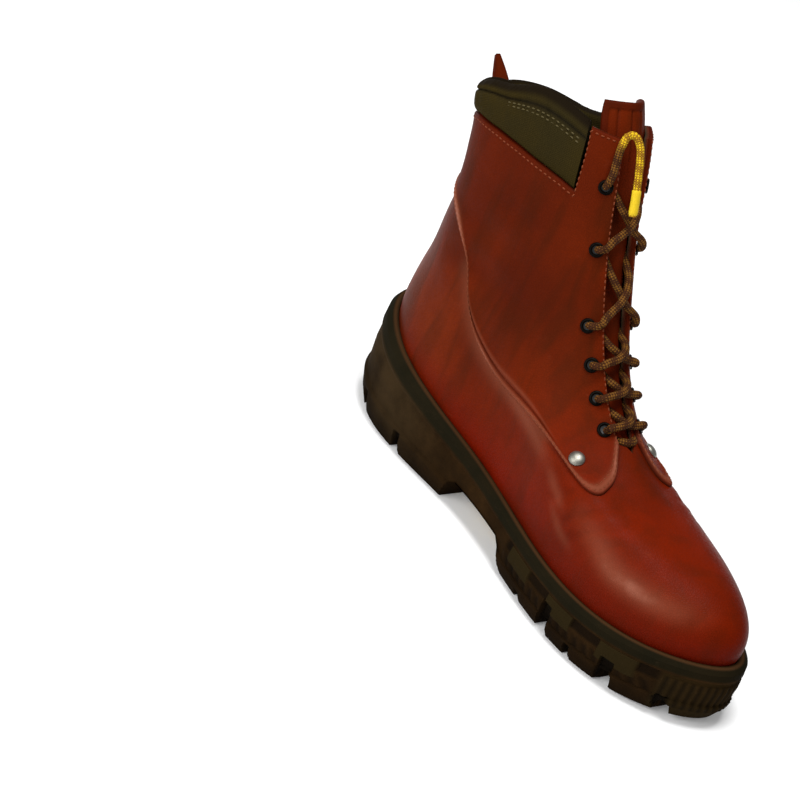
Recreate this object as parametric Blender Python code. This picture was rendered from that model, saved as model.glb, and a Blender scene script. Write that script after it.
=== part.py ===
"""High-top safety shoe for the right foot: a hollow leather upper on a cleated unit sole.

Tables are in millimetres and meshes in metres. X runs from heel to toe, Y to the inner side of the
foot, Z up from the floor. The upper is one smooth surface through the sections of a last, and every
piece that lies on it or in it is worked out from that surface.
"""

import math

import bmesh
import bpy
import numpy as np

MM = 0.001

# Driving sizes
GAP = 0.3
PANEL_GAP = 0.5
TONGUE_GAP = 0.8
EYELET_GAP = 0.9
RIVET_GAP = 1.2
WALL = 2.2
PANEL = 1.6
TAB = 2.2
TONGUE = 4.0
INSOLE = 4.0
LACE = 4.2
FOREFOOT_END = 242.0
TOE_SPRING = 4.0
TOE_TIP = 307.0

# Sections of the last, from the seat in the sole up to the tongue's tip. Each is a closed ring with a
# back and a front point and half widths on the outer and inner side of the foot. dip lowers its middle.
SECTION_COLUMNS = (
    "back_x", "back_z", "front_x", "front_y", "front_z", "dip",
    "out_heel", "out_waist", "out_ball", "out_toe", "in_heel", "in_waist", "in_ball", "in_toe",
)
SECTIONS = {
    "seat": (14.0, 30, 295, 4.5, 20, 5, 25.0, 26.0, 36.5, 26.0, 25.0, 22.0, 39.5, 29.0),
    "rim": (9.5, 60, 302, 4.5, 37, 17, 30.0, 29.0, 40.5, 29.5, 30.0, 26.0, 43.5, 32.0),
    "bulge": (9.5, 73, 301, 4.5, 51, 15, 31.0, 30.0, 41.0, 29.0, 31.0, 27.5, 43.0, 31.0),
    "toe_side": (10.5, 86, 291, 4.0, 62, 13, 30.5, 30.0, 39.0, 25.5, 30.5, 28.5, 38.5, 27.5),
    "toe_top": (12.0, 97, 268, 3.5, 69.5, 9, 29.5, 30.0, 35.0, 20.5, 29.5, 29.5, 33.0, 20.5),
    "vamp": (13.5, 108, 230, 2.0, 74, 6, 28.5, 30.0, 32.0, 17.5, 28.5, 30.0, 29.0, 16.5),
    "instep_low": (14.5, 121, 189, 1.0, 89, 4, 27.5, 30.0, 29.0, 16.0, 27.5, 30.0, 28.5, 16.0),
    "instep_high": (15.5, 135, 161, 0.5, 116, 2, 26.5, 31.0, 28.0, 15.5, 26.5, 31.0, 28.0, 15.5),
    "ankle": (16.5, 151, 140.5, 0.0, 149, 0, 26.0, 32.0, 28.5, 16.0, 26.0, 32.0, 28.5, 16.0),
    "shaft": (14.5, 168, 125, 0.0, 183, 0, 26.5, 33.5, 30.0, 17.0, 26.5, 33.5, 29.0, 15.5),
    "collar": (8.5, 188, 111, 0.0, 221, 0, 27.5, 34.5, 31.0, 18.0, 27.5, 34.5, 29.5, 15.5),
    "tongue": (-9.0, 209, 93, 0.0, 250, 0, 27.5, 34.0, 30.0, 17.0, 27.5, 34.0, 28.5, 14.5),
}
# Where the half widths stand: share of a section's length, and share of the way around it.
STATIONS = {"heel": (0.12, 0.09), "waist": (0.40, 0.205), "ball": (0.68, 0.323), "toe": (0.91, 0.427)}
FRONT = 0.5

# Top edge of the leather: share of the way around from the back, and height. It falls to a notch
# behind the facing, where the padded collar ends, and stands up again in the facing.
TOP_EDGE = (
    (0.0, 178.0), (0.06, 184.0), (0.124, 190.0), (0.19, 192.5), (0.255, 193.5), (0.33, 193.3),
    (0.362, 192.7), (0.392, 191.0), (0.408, 224.0), (0.5, 224.0),
)
NOTCH_AROUND = 0.392
FACING_BACK_AROUND = 0.408
# Top of the padded collar, the same way. Its inner side slumps lower than its outer side.
COLLAR_TOP = (
    (0.0, 194.0), (0.05, 197.5), (0.10, 202.0), (0.15, 209.0), (0.205, 215.0), (0.25, 221.0), (0.30, 226.5),
    (0.341, 228.0), (0.37, 227.5), (0.42, 225.0),
)
COLLAR_TOP_INNER = (
    (0.0, 194.0), (0.05, 195.5), (0.10, 197.0), (0.15, 198.5), (0.205, 203.0), (0.25, 208.0), (0.30, 212.0),
    (0.341, 214.5), (0.37, 215.5), (0.42, 216.0),
)
# Where its top ends at the facings, outer and inner.
COLLAR_ENDS = (0.403, -0.397)

# Throat: the slit between the facings, from its foot on the instep up to the collar.
THROAT_HEIGHT = 87.0
FACING_AROUND = 0.463

# Quarter panel: its lower seam from the facing round the lobe and along the side to the back, and
# the matching places on the top edge.
QUARTER_COLUMNS = ("seam_around", "seam_height", "top_around")
QUARTER = {
    "facing_front": (0.470, 88.5, 0.463),
    "lobe_front": (0.443, 79.7, 0.449),
    "lobe_tip": (0.410, 75.2, 0.430),
    "lobe_heel": (0.376, 72.8, 0.408),
    "rivet": (0.349, 73.6, 0.392),
    "side_front": (0.317, 79.0, 0.345),
    "side": (0.262, 80.5, 0.285),
    "side_back": (0.213, 80.5, 0.235),
    "rise": (0.184, 88.0, 0.200),
    "ankle": (0.178, 104.0, 0.168),
    "wrap": (0.154, 126.0, 0.130),
    "back_wrap": (0.089, 138.5, 0.078),
    "back": (0.028, 143.0, 0.028),
}

# Back tab: height and half width, as a share of the way around.
BACK_TAB = (
    (128.0, 0.022), (150.0, 0.024), (168.0, 0.024), (184.0, 0.021), (196.0, 0.014), (205.0, 0.004),
)

# Collar pad section: share of its height and offset from the upper's surface.
COLLAR_PAD = (
    (0.0, 0.2), (0.35, 1.7), (0.75, 1.3), (0.94, -1.0), (1.0, -3.6),
    (0.95, -6.4), (0.7, -8.2), (0.3, -8.4), (0.0, -7.6),
)

# Tongue: height at the front, half width as a share of the way around.
TONGUE_ROWS = (
    (84.0, 0.070), (91.0, 0.095), (104.0, 0.105), (126.0, 0.105), (150.0, 0.100), (175.0, 0.092),
    (199.0, 0.085), (221.0, 0.080), (234.5, 0.078), (241.5, 0.072),
)

# Eyelets on each facing, from the throat up: share of the way around, and height.
EYELETS = ((0.450, 92.0), (0.447, 103.0), (0.443, 116.0), (0.437, 132.5), (0.443, 168.5), (0.443, 199.5))
# Turned profiles: radius and height above the panel.
EYELET_PROFILE = ((2.3, 0.0), (3.9, 0.0), (4.1, 0.5), (3.4, 1.2), (2.5, 1.1))
RIVET_PROFILE = ((0.0, 0.0), (4.4, 0.0), (4.3, 0.9), (3.0, 1.9), (0.0, 2.4))
RIVET_AROUND = 0.374
RIVET_HEIGHT = 78.0

# Sole side: share of the height from tread to rim, and offset from the upper's rim section.
SOLE_SIDE = (
    (0.0, 2.2), (0.15, 5.0), (0.29, 6.0), (0.32, 4.6), (0.58, 5.6), (0.76, 5.2),
    (0.79, 6.2), (0.93, 5.8), (0.985, 3.8), (1.0, 1.8),
)
# The heel draws in below: how far at the tread, up to what share of the height, and how far around.
HEEL_DRAW = (5.0, 0.3, 0.06)
# Arch underside: place along the foot, and height.
ARCH_TOP = 16.0
ARCH = (
    (112.0, -2.0), (116.0, 12.0), (121.0, ARCH_TOP), (166.0, ARCH_TOP), (171.0, 12.0), (178.0, -2.0),
)
ARCH_LABEL = (34.0, 36.0, 1.0)
ARCH_LABEL_PLACE = 143.5
# Grooves between the cleats: place along the foot, width, depth in the middle, depth at the edge, and
# height of the slot up the side.
GROOVES = (
    (34.0, 5.0, 2.5, 8.0, 12.0), (72.0, 5.0, 2.5, 8.0, 12.0), (197.0, 3.0, 2.0, 3.0, 5.0),
    (222.0, 7.0, 3.5, 8.5, 18.0), (243.0, 3.0, 2.0, 4.5, 8.0), (266.0, 7.0, 3.5, 8.5, 17.0),
    (293.0, 5.0, 3.0, 7.0, 13.0),
)
GROOVE_EDGE_REACH = 15.0
SLOT_DEPTH = 3.0

# Laces: bars from the edge of one eyelet to the next one up on the other facing. Offset at the ends
# and over the middle of the tongue, and how far the falling bars lie under the rising ones.
LACE_AROUND = 0.471
LACE_OFFSETS = (5.2, 3.6, 0.37)
# Free end: share of the way around, height, offset.
LACE_END = (
    (0.450, 207.0, 4.8), (0.453, 215.0, 5.0), (0.458, 222.0, 5.8), (0.465, 226.0, 6.8), (0.474, 226.5, 7.8),
    (0.481, 222.5, 8.6), (0.483, 214.5, 9.0), (0.484, 206.0, 9.2), (0.485, 198.0, 9.3), (0.485, 190.0, 9.3),
)


def slope_matrix(knots, period=None):
    """Matrix that turns the values at the knots into the slopes of the smooth cubic through them."""
    count = len(knots)
    gaps = np.diff(knots) if period is None else np.diff(knots, append=knots[0] + period)
    slopes, values = np.zeros((count, count)), np.zeros((count, count))
    for i in range(count):
        before, after = (i - 1) % count, (i + 1) % count
        if period is not None or i > 0:
            gap = gaps[i - 1]
            slopes[i, before] += 1 / gap
            slopes[i, i] += 2 / gap
            values[i, before] -= 3 / gap**2
            values[i, i] += 3 / gap**2
        if period is not None or i < count - 1:
            gap = gaps[i]
            slopes[i, after] += 1 / gap
            slopes[i, i] += 2 / gap
            values[i, i] -= 3 / gap**2
            values[i, after] += 3 / gap**2
    return np.linalg.solve(slopes, values)


def cubic(start, end, start_slope, end_slope, gap, share):
    """Point on the cubic between two knots, a share of the way along."""
    rise = share**2 * (3 - 2 * share)
    return (
        start + rise * (end - start)
        + gap * share * (1 - share) * ((1 - share) * start_slope - share * end_slope)
    )


def section_points(row):
    """The control points of one section, round from the back by the outer side to the front and home."""
    size = dict(zip(SECTION_COLUMNS, row))
    length = size["front_x"] - size["back_x"]

    def at(share, y):
        height = size["back_z"] + (size["front_z"] - size["back_z"]) * share
        return (size["back_x"] + length * share, y, height - size["dip"] * 4 * share * (1 - share))

    outer = [at(share, -size["out_" + name]) for name, (share, _) in STATIONS.items()]
    inner = [at(share, size["in_" + name]) for name, (share, _) in STATIONS.items()]
    return [at(0.0, 0.0), *outer, at(1.0, size["front_y"]), *reversed(inner)]


NET = np.array([section_points(row) for row in SECTIONS.values()])
STEPS = np.linalg.norm(np.diff(NET, axis=0), axis=2).mean(axis=1)
LEVELS = np.concatenate([[0.0], np.cumsum(STEPS)])
LEVEL_OF = dict(zip(SECTIONS, LEVELS))
NET_SLOPES = np.einsum("ij,jkl->ikl", slope_matrix(LEVELS), NET)
OUTER_AROUND = [around for _, around in STATIONS.values()]
AROUND_KNOTS = np.array([0.0, *OUTER_AROUND, FRONT, *[1 - a for a in reversed(OUTER_AROUND)]])
AROUND_SLOPES = slope_matrix(AROUND_KNOTS, period=1.0)
AROUND_GAPS = np.diff(AROUND_KNOTS, append=1.0)


def last_surface(around, level):
    """Points of the last at a share of the way around and a level up from the seat."""
    around, level = np.broadcast_arrays(np.asarray(around, float), np.asarray(level, float))
    shape, around, level = around.shape, around.ravel() % 1.0, level.ravel()
    i = np.clip(np.searchsorted(LEVELS, level, "right") - 1, 0, len(LEVELS) - 2)
    gap = (LEVELS[i + 1] - LEVELS[i])[:, None, None]
    share = (level - LEVELS[i])[:, None, None] / gap
    ring = cubic(NET[i], NET[i + 1], NET_SLOPES[i], NET_SLOPES[i + 1], gap, share)
    slopes = np.einsum("ij,mjk->mik", AROUND_SLOPES, ring)
    a = np.clip(np.searchsorted(AROUND_KNOTS, around, "right") - 1, 0, len(AROUND_KNOTS) - 1)
    b = (a + 1) % len(AROUND_KNOTS)
    row = np.arange(len(a))
    gap = AROUND_GAPS[a][:, None]
    share = (around - AROUND_KNOTS[a])[:, None] / gap
    points = cubic(ring[row, a], ring[row, b], slopes[row, a], slopes[row, b], gap, share)
    return points.reshape(*shape, 3)


def last_normal(around, level):
    """Outward normals of the last."""
    around, level = np.broadcast_arrays(np.asarray(around, float), np.asarray(level, float))
    along = last_surface(around + 0.001, level) - last_surface(around - 0.001, level)
    up = last_surface(around, level + 0.5) - last_surface(around, level - 0.5)
    normal = np.cross(along, up)
    return normal / np.linalg.norm(normal, axis=-1, keepdims=True)


def off_last(around, level, offset):
    """Points at an offset outward from the last."""
    offset = np.asarray(offset, float)[..., None]
    return last_surface(around, level) + offset * last_normal(around, level)


def level_at(around, height):
    """Level at which the last reaches a height, at each share of the way around."""
    around, height = np.broadcast_arrays(np.asarray(around, float), np.asarray(height, float))
    samples = np.linspace(LEVELS[0], LEVELS[-1], 160)
    found = [
        np.interp(z, last_surface(a, samples)[:, 2], samples)
        for a, z in zip(around.ravel(), height.ravel())
    ]
    return np.array(found).reshape(around.shape)


def table_at(table, where):
    """Value read straight between the rows of a two-column table."""
    keys, values = np.array(table).T
    return np.interp(where, keys, values)


def from_back(around):
    """Share of the way around from the back, the same on both sides."""
    around = np.asarray(around, float) % 1.0
    return np.minimum(around, 1 - around)


def plain_finish(name, color, roughness, metallic=0.0):
    """Plain finish of one piece."""
    finish = bpy.data.materials.new(name)
    finish.use_nodes = True
    shader = finish.node_tree.nodes["Principled BSDF"]
    shader.inputs["Base Color"].default_value = (*color, 1.0)
    shader.inputs["Roughness"].default_value = roughness
    shader.inputs["Metallic"].default_value = metallic
    return finish


def solid(name, points, faces, finish, root):
    """Object of one closed mesh, from points in millimetres, with doubles merged and faces outward."""
    mesh = bpy.data.meshes.new(name)
    mesh.from_pydata((np.asarray(points) * MM).tolist(), [], faces)
    shape = bmesh.new()
    shape.from_mesh(mesh)
    bmesh.ops.remove_doubles(shape, verts=shape.verts, dist=1e-6)
    bmesh.ops.dissolve_degenerate(shape, edges=shape.edges, dist=1e-6)
    bmesh.ops.triangulate(shape, faces=shape.faces)
    bmesh.ops.recalc_face_normals(shape, faces=shape.faces)
    shape.to_mesh(mesh)
    shape.free()
    mesh.shade_smooth()
    mesh.set_sharp_from_angle(angle=math.radians(40))
    mesh.materials.append(finish)
    piece = bpy.data.objects.new(name, mesh)
    piece.parent = root
    bpy.context.scene.collection.objects.link(piece)
    return piece


def slab(outer, inner, closed_rows=0):
    """Points and faces of a sheet between two matching grids. Its first rows may close on themselves,
    and those have no side edges."""
    rows, columns = outer.shape[:2]
    size = rows * columns
    faces = []
    for j in range(rows - 1):
        for i in range(columns - 1):
            a, b = j * columns + i, j * columns + i + 1
            c, d = b + columns, a + columns
            faces.append((a, b, c, d))
            faces.append((size + d, size + c, size + b, size + a))
    rim = [(i, i + 1) for i in range(columns - 1)]
    rim += [(size - columns + i + 1, size - columns + i) for i in range(columns - 1)]
    for j in range(closed_rows, rows - 1):
        rim.append(((j + 1) * columns, j * columns))
        rim.append(((j + 1) * columns - 1, (j + 2) * columns - 1))
    faces += [(b, a, a + size, b + size) for a, b in rim]
    return np.concatenate([outer.reshape(-1, 3), inner.reshape(-1, 3)]), faces


def ring_stack(rings):
    """Points and faces of a solid between the first and last of a stack of closed rings. Each end is
    closed by a ladder of faces from the outer to the inner side."""
    count = len(rings[0])
    faces = []
    for k in range(len(rings) - 1):
        for i in range(count):
            a, b = k * count + i, k * count + (i + 1) % count
            faces.append((a, b, b + count, a + count))
    for start, turned in ((0, True), ((len(rings) - 1) * count, False)):
        for i in range(count // 2):
            rung = [start + i, start + i + 1, start + (count - i - 1) % count, start + (count - i) % count]
            rung = list(dict.fromkeys(rung))
            faces.append(tuple(reversed(rung)) if turned else tuple(rung))
    return np.concatenate(rings), faces


def turned(profile, centre, axis, steps):
    """Points and faces of a closed turned piece on an axis. A profile that starts on the axis is domed."""
    side = np.cross(axis, (0.0, 0.0, 1.0))
    side /= np.linalg.norm(side)
    other = np.cross(axis, side)
    angles = np.arange(steps) * math.tau / steps
    spokes = np.cos(angles)[:, None] * side + np.sin(angles)[:, None] * other
    rings = [centre + radius * spokes + height * axis for radius, height in profile]
    loops = len(profile) if profile[0][0] > 0 else len(profile) - 1
    faces = []
    for k in range(loops):
        below, above = k * steps, (k + 1) % len(profile) * steps
        for i in range(steps):
            j = (i + 1) % steps
            faces.append((below + i, below + j, above + j, above + i))
    return np.concatenate(rings), faces


def tube(path, radius, sides):
    """Points and faces of a round bar along a path, with flat ends."""
    path = np.asarray(path)
    along = np.gradient(path, axis=0)
    along /= np.linalg.norm(along, axis=1, keepdims=True)
    across = np.cross(along, (1.0, 0.0, 0.3))
    across /= np.linalg.norm(across, axis=1, keepdims=True)
    over = np.cross(along, across)
    angles = np.arange(sides) * math.tau / sides
    ring = np.cos(angles)[None, :, None] * across[:, None] + np.sin(angles)[None, :, None] * over[:, None]
    points = path[:, None] + radius * ring
    faces = []
    for k in range(len(path) - 1):
        for i in range(sides):
            a, b = k * sides + i, k * sides + (i + 1) % sides
            faces.append((a, b, b + sides, a + sides))
    last = (len(path) - 1) * sides
    faces += [tuple(range(sides))[::-1], tuple(range(last, last + sides))]
    return points.reshape(-1, 3), faces


def upper_grid(offset):
    """Grid of the upper, from the seat to the top edge, round from one facing to the other."""
    corners = np.array([NOTCH_AROUND, FACING_BACK_AROUND]) / FACING_AROUND
    stops = np.concatenate([np.linspace(0, 0.8, 19), corners, [0.92, 0.96, 1.0]])
    low_rows, high_rows = 8, 9
    throat_level = level_at(FRONT, THROAT_HEIGHT)
    columns = np.concatenate([-stops[::-1], stops[1:]])
    rows = []
    for j in range(low_rows + 1):
        rows.append((columns * FRONT, np.full(len(columns), throat_level * j / low_rows)))
    for j in range(1, high_rows + 1):
        share = j / high_rows
        narrowing = min(1.0, share * high_rows / 2) ** 0.5
        around = columns * (FRONT + (FACING_AROUND - FRONT) * narrowing)
        top = level_at(around, table_at(TOP_EDGE, from_back(around)))
        rows.append((around, throat_level + share * (top - throat_level)))
    around = np.array([row[0] for row in rows])
    level = np.array([row[1] for row in rows])
    return off_last(around, level, np.full(around.shape, offset)), low_rows


def make_upper(finish, root):
    """The hollow upper: one wall, open at the collar, the throat and underneath."""
    outer, low_rows = upper_grid(0.0)
    inner, _ = upper_grid(-WALL)
    return solid("upper", *slab(outer, inner, closed_rows=low_rows), finish, root)


def quarter_grid(side, offset):
    """Grid of a quarter panel from its seam to the top edge, side is 1 outside and -1 inside."""
    table = np.array(list(QUARTER.values()))
    rows = np.arange(len(table))
    finer = np.linspace(0, len(table) - 1, 5 * len(table) // 2)
    i = np.clip(finer.astype(int), 0, len(table) - 2)
    slopes = slope_matrix(rows) @ table
    share = (finer - i)[:, None]
    smooth = cubic(table[i], table[i + 1], slopes[i], slopes[i + 1], 1.0, share)
    top_around = np.interp(finer, rows, table[:, 2])
    seam_level = level_at(smooth[:, 0], smooth[:, 1])
    top_level = level_at(top_around, table_at(TOP_EDGE, top_around))
    share = np.linspace(0, 1, 8)[:, None]
    around = smooth[:, 0] + share * (top_around - smooth[:, 0])
    level = seam_level + share * (top_level - seam_level)
    return off_last(around * side, level, np.full(around.shape, offset))


def make_quarters(finish, root):
    """The two quarter panels with their facings, laid on the upper."""
    for name, side in (("quarter_outer", 1), ("quarter_inner", -1)):
        low, high = quarter_grid(side, PANEL_GAP), quarter_grid(side, PANEL_GAP + PANEL)
        solid(name, *slab(high, low), finish, root)


def make_back_tab(finish, root):
    """The pointed strip that covers the back seam and stands above the collar."""
    heights, widths = np.array(BACK_TAB).T
    around = np.linspace(-1, 1, 5)[None, :] * widths[:, None]
    level = level_at(around, np.broadcast_to(heights[:, None], around.shape))
    low = off_last(around, level, np.full(around.shape, GAP))
    high = off_last(around, level, np.full(around.shape, GAP + TAB))
    return solid("back_tab", *slab(high, low), finish, root)


def make_collar(finish, root):
    """The padded collar: a rolled section carried round the top edge between the two facings."""
    foot = np.concatenate([np.linspace(0, 0.33, 13), [0.362, NOTCH_AROUND - 0.004]])
    foot = np.concatenate([-foot[::-1], foot[1:]])
    head = foot.copy()
    head[-1], head[0] = COLLAR_ENDS
    low = level_at(foot, table_at(TOP_EDGE, from_back(foot)) + 2 * GAP)
    top = np.where(head < 0, table_at(COLLAR_TOP_INNER, -head), table_at(COLLAR_TOP, head))
    high = level_at(head, top)
    clear_of_tab = np.clip((from_back(foot) - 0.03) / 0.05, 0, 1)
    rings = []
    for share, offset in COLLAR_PAD:
        bulge = offset if offset < 0 else offset * clear_of_tab
        around, level = foot + share * (head - foot), low + share * (high - low)
        rings.append(off_last(around, level, np.broadcast_to(bulge, foot.shape)))
    points = np.array(rings).transpose(1, 0, 2)
    count, sides = points.shape[:2]
    faces = []
    for k in range(count - 1):
        for i in range(sides):
            a, b = k * sides + i, k * sides + (i + 1) % sides
            faces.append((a, b, b + sides, a + sides))
    last = (count - 1) * sides
    faces += [tuple(range(sides))[::-1], tuple(range(last, last + sides))]
    return solid("collar", points.reshape(-1, 3), faces, finish, root)


def make_tongue(finish, root):
    """The tongue: a thick sheet under the facings, from below the throat to above the collar."""
    rows = np.arange(len(TONGUE_ROWS))
    finer = np.linspace(0, rows[-1], 2 * len(rows) - 1)
    heights, widths = (np.interp(finer, rows, column) for column in np.array(TONGUE_ROWS).T)
    around = FRONT + np.linspace(-1, 1, 9)[None, :] * widths[:, None]
    level = np.broadcast_to(level_at(np.full(len(heights), FRONT), heights)[:, None], around.shape)
    outer = off_last(around, level, np.full(around.shape, -(WALL + TONGUE_GAP)))
    inner = off_last(around, level, np.full(around.shape, -(WALL + TONGUE_GAP + TONGUE)))
    return solid("tongue", *slab(outer, inner), finish, root)


def around_ring(count=64):
    """Shares of the way around for a closed ring."""
    return np.arange(count) / count


def plan_outward(around, level):
    """Outward directions of the last seen from above."""
    outward = last_normal(around, level) * (1.0, 1.0, 0.0)
    return outward / np.linalg.norm(outward, axis=1, keepdims=True)


def tread_height(x):
    """Height of the tread's underside along the foot: flat, then rising to the toe."""
    past = np.clip((x - FOREFOOT_END) / (TOE_TIP - FOREFOOT_END), 0, None)
    return TOE_SPRING * past**2


def sole_rings():
    """Rings of the sole from the tread's edge up its side, over the rim and down into its cup."""
    around = around_ring()
    rim = last_surface(around, LEVEL_OF["rim"])
    outward = plan_outward(around, LEVEL_OF["rim"])
    rings = []
    depth, top, reach = HEEL_DRAW
    draw = depth * np.exp(-((from_back(around) / reach) ** 2))
    for share, offset in SOLE_SIDE:
        ring = rim + (offset - draw * max(0.0, 1 - share / top))[:, None] * outward
        low = tread_height(ring[:, 0])
        ring[:, 2] = low + share * (rim[:, 2] - low)
        rings.append(ring)
    for share in (0.99, 0.66, 0.33, 0.0):
        rings.append(off_last(around, LEVEL_OF["rim"] * share, np.full(around.shape, GAP)))
    rings[-1][:, 2] -= 2 * GAP
    return rings


def prism(profile, low, high, along_x):
    """Points and faces of a closed profile drawn out straight, along X from YZ or along Y from XZ."""
    ends = [(low, *p) if along_x else (p[0], low, p[1]) for p in profile]
    ends += [(high, *p) if along_x else (p[0], high, p[1]) for p in profile]
    count = len(profile)
    faces = [(i, (i + 1) % count, (i + 1) % count + count, i + count) for i in range(count)]
    faces += [tuple(range(count))[::-1], tuple(range(count, 2 * count))]
    return np.array(ends), faces


def joined(parts):
    """Points and faces of several bodies together."""
    points, faces, start = [], [], 0
    for some_points, some_faces in parts:
        points.append(some_points)
        faces += [tuple(start + i for i in face) for face in some_faces]
        start += len(some_points)
    return np.concatenate(points), faces


def groove_prism(place, width, middle_depth, edge_depth, slot_height):
    """One groove across the tread: shallow in the middle, deep at both edges, with a slot up the side."""
    reach, below = 90.0, -6.0
    ring = sole_rings()[2]
    near = ring[np.abs(ring[:, 0] - place).argsort()]
    outer = -near[near[:, 1] < 0][:2, 1].mean()
    inner = near[near[:, 1] > 0][:2, 1].mean()
    base = float(tread_height(np.array(place)))
    profile = [(reach, below), (-reach, below)]
    for sign, half in ((-1, outer), (1, inner)):
        steps = [
            (sign * reach, slot_height), (sign * (half - SLOT_DEPTH), slot_height),
            (sign * (half - SLOT_DEPTH), base + edge_depth),
            (sign * (half - GROOVE_EDGE_REACH), base + edge_depth),
            (sign * (half - GROOVE_EDGE_REACH), base + middle_depth),
        ]
        profile += steps if sign < 0 else steps[::-1]
    return prism(profile, place - width / 2, place + width / 2, along_x=True)


def cut(piece, tool, operation):
    """Take a hidden body from a piece, or join it on."""
    tool.hide_render = True
    tool.display_type = "WIRE"
    change = piece.modifiers.new(tool.name, "BOOLEAN")
    change.operation = operation
    change.object = tool
    change.solver = "EXACT"


def make_sole(finish, root):
    """The unit sole: cup, side steps, arch, heel and cleats."""
    sole = solid("sole", *ring_stack(sole_rings()), finish, root)
    arch = prism([*ARCH, (ARCH[-1][0], -6.0), (ARCH[0][0], -6.0)], -90.0, 90.0, along_x=False)
    grooves = [groove_prism(*row) for row in GROOVES]
    cut(sole, solid("tread_cutter", *joined([arch, *grooves]), finish, root), "DIFFERENCE")
    return sole


def make_arch_label(finish, root):
    """The plain plate under the arch."""
    length, width, thick = ARCH_LABEL
    place, top = ARCH_LABEL_PLACE, ARCH_TOP - GAP
    low, high = place - length / 2, place + length / 2
    half = width / 2
    profile = [(-half, top - thick), (half, top - thick), (half, top), (-half, top)]
    return solid("arch_label", *prism(profile, low, high, along_x=True), finish, root)


def make_insole(finish, root):
    """The insole, inside the upper's wall on the floor of the cup."""
    around = around_ring()
    seat = last_surface(around, 0.0)
    outline = seat - (WALL + 1.5) * plan_outward(around, 0.0)
    rings = []
    for lift in (GAP, INSOLE):
        ring = outline.copy()
        ring[:, 2] = seat[:, 2] + lift
        rings.append(ring)
    return solid("insole", *ring_stack(rings), finish, root)


def panel_point(around, height, offset):
    """A point and outward direction on a facing."""
    level = level_at(around, height)
    return off_last(around, level, offset), last_normal(around, level)


def make_eyelets(finish, root):
    """Turned eyelets on both facings, numbered from the throat up."""
    for name, side in (("outer", 1), ("inner", -1)):
        for number, (around, height) in enumerate(EYELETS, 1):
            centre, axis = panel_point(side * around, height, PANEL_GAP + PANEL + EYELET_GAP)
            solid(f"eyelet_{name}_{number}", *turned(EYELET_PROFILE, centre, axis, 8), finish, root)


def make_rivets(finish, root):
    """Domed rivets on both lobes."""
    for name, side in (("outer", 1), ("inner", -1)):
        centre, axis = panel_point(side * RIVET_AROUND, RIVET_HEIGHT, PANEL_GAP + PANEL + RIVET_GAP)
        solid(f"rivet_{name}", *turned(RIVET_PROFILE, centre, axis, 12), finish, root)


def lace_bar(low, high, rising):
    """A bar of lace from one side to the other, between two heights."""
    share = np.linspace(0, 1, 6)
    ends = (LACE_AROUND, 1 - LACE_AROUND) if rising else (1 - LACE_AROUND, LACE_AROUND)
    around = ends[0] + share * (ends[1] - ends[0])
    level = level_at(LACE_AROUND, low) + share * (level_at(LACE_AROUND, high) - level_at(LACE_AROUND, low))
    end, middle, under = LACE_OFFSETS
    offset = middle + (end - middle) * (2 * share - 1) ** 2 - (0.0 if rising else under)
    return tube(off_last(around, level, offset), LACE / 2, 6)


def make_laces(finish, root):
    """The crossed lace: bars joined where they cross and where they meet beside the eyelets."""
    heights = [height for _, height in EYELETS]
    pairs = list(zip(heights, heights[1:]))
    first = joined([lace_bar(low, high, True) for low, high in pairs])
    second = joined([lace_bar(low, high, False) for low, high in pairs])
    laces = solid("laces", *first, finish, root)
    cut(laces, solid("laces_back", *second, finish, root), "UNION")
    lowest = lace_bar(heights[0] - 0.4, heights[0] - 0.2, True)
    cut(laces, solid("laces_lowest", *lowest, finish, root), "UNION")
    return laces


def make_lace_end(finish, root):
    """The free end of the lace, over the tongue and down."""
    around, height, offset = np.array(LACE_END).T
    points = off_last(around, level_at(around, height), offset) * MM
    curve = bpy.data.curves.new("lace_end", "CURVE")
    curve.dimensions = "3D"
    curve.bevel_depth = LACE / 2 * MM
    curve.bevel_resolution = 2
    curve.use_fill_caps = True
    line = curve.splines.new("POLY")
    line.points.add(len(points) - 1)
    line.points.foreach_set("co", np.column_stack([points, np.ones(len(points))]).ravel())
    curve.materials.append(finish)
    piece = bpy.data.objects.new("lace_end", curve)
    piece.parent = root
    bpy.context.scene.collection.objects.link(piece)
    return piece


def centre_on_floor(root):
    """Put the middle of the shoe's outline over the origin."""
    pieces = [item for item in root.children if item.type == "MESH" and not item.hide_render]
    corners = np.array([corner for item in pieces for corner in item.bound_box])
    middle = (corners.min(axis=0) + corners.max(axis=0)) / 2
    root.location = (-middle[0], -middle[1], 0.0)


def main():
    for item in list(bpy.data.objects):
        bpy.data.objects.remove(item)
    root = bpy.data.objects.new("shoe", None)
    bpy.context.scene.collection.objects.link(root)
    red = plain_finish("red_leather", (0.17, 0.028, 0.008), 0.42)
    dark = plain_finish("collar_leather", (0.03, 0.026, 0.018), 0.55)
    rubber = plain_finish("sole_rubber", (0.022, 0.016, 0.01), 0.6)
    felt = plain_finish("insole_felt", (0.12, 0.09, 0.06), 0.9)
    yellow = plain_finish("label_plastic", (0.62, 0.42, 0.02), 0.5)
    black = plain_finish("eyelet_metal", (0.02, 0.018, 0.016), 0.4, 1.0)
    steel = plain_finish("rivet_metal", (0.6, 0.58, 0.55), 0.3, 1.0)
    cord = plain_finish("lace_cord", (0.22, 0.13, 0.04), 0.8)
    make_sole(rubber, root)
    make_arch_label(yellow, root)
    make_insole(felt, root)
    make_upper(red, root)
    make_quarters(red, root)
    make_back_tab(red, root)
    make_collar(dark, root)
    make_tongue(red, root)
    make_eyelets(black, root)
    make_rivets(steel, root)
    make_laces(cord, root)
    make_lace_end(cord, root)
    centre_on_floor(root)


main()
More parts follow.
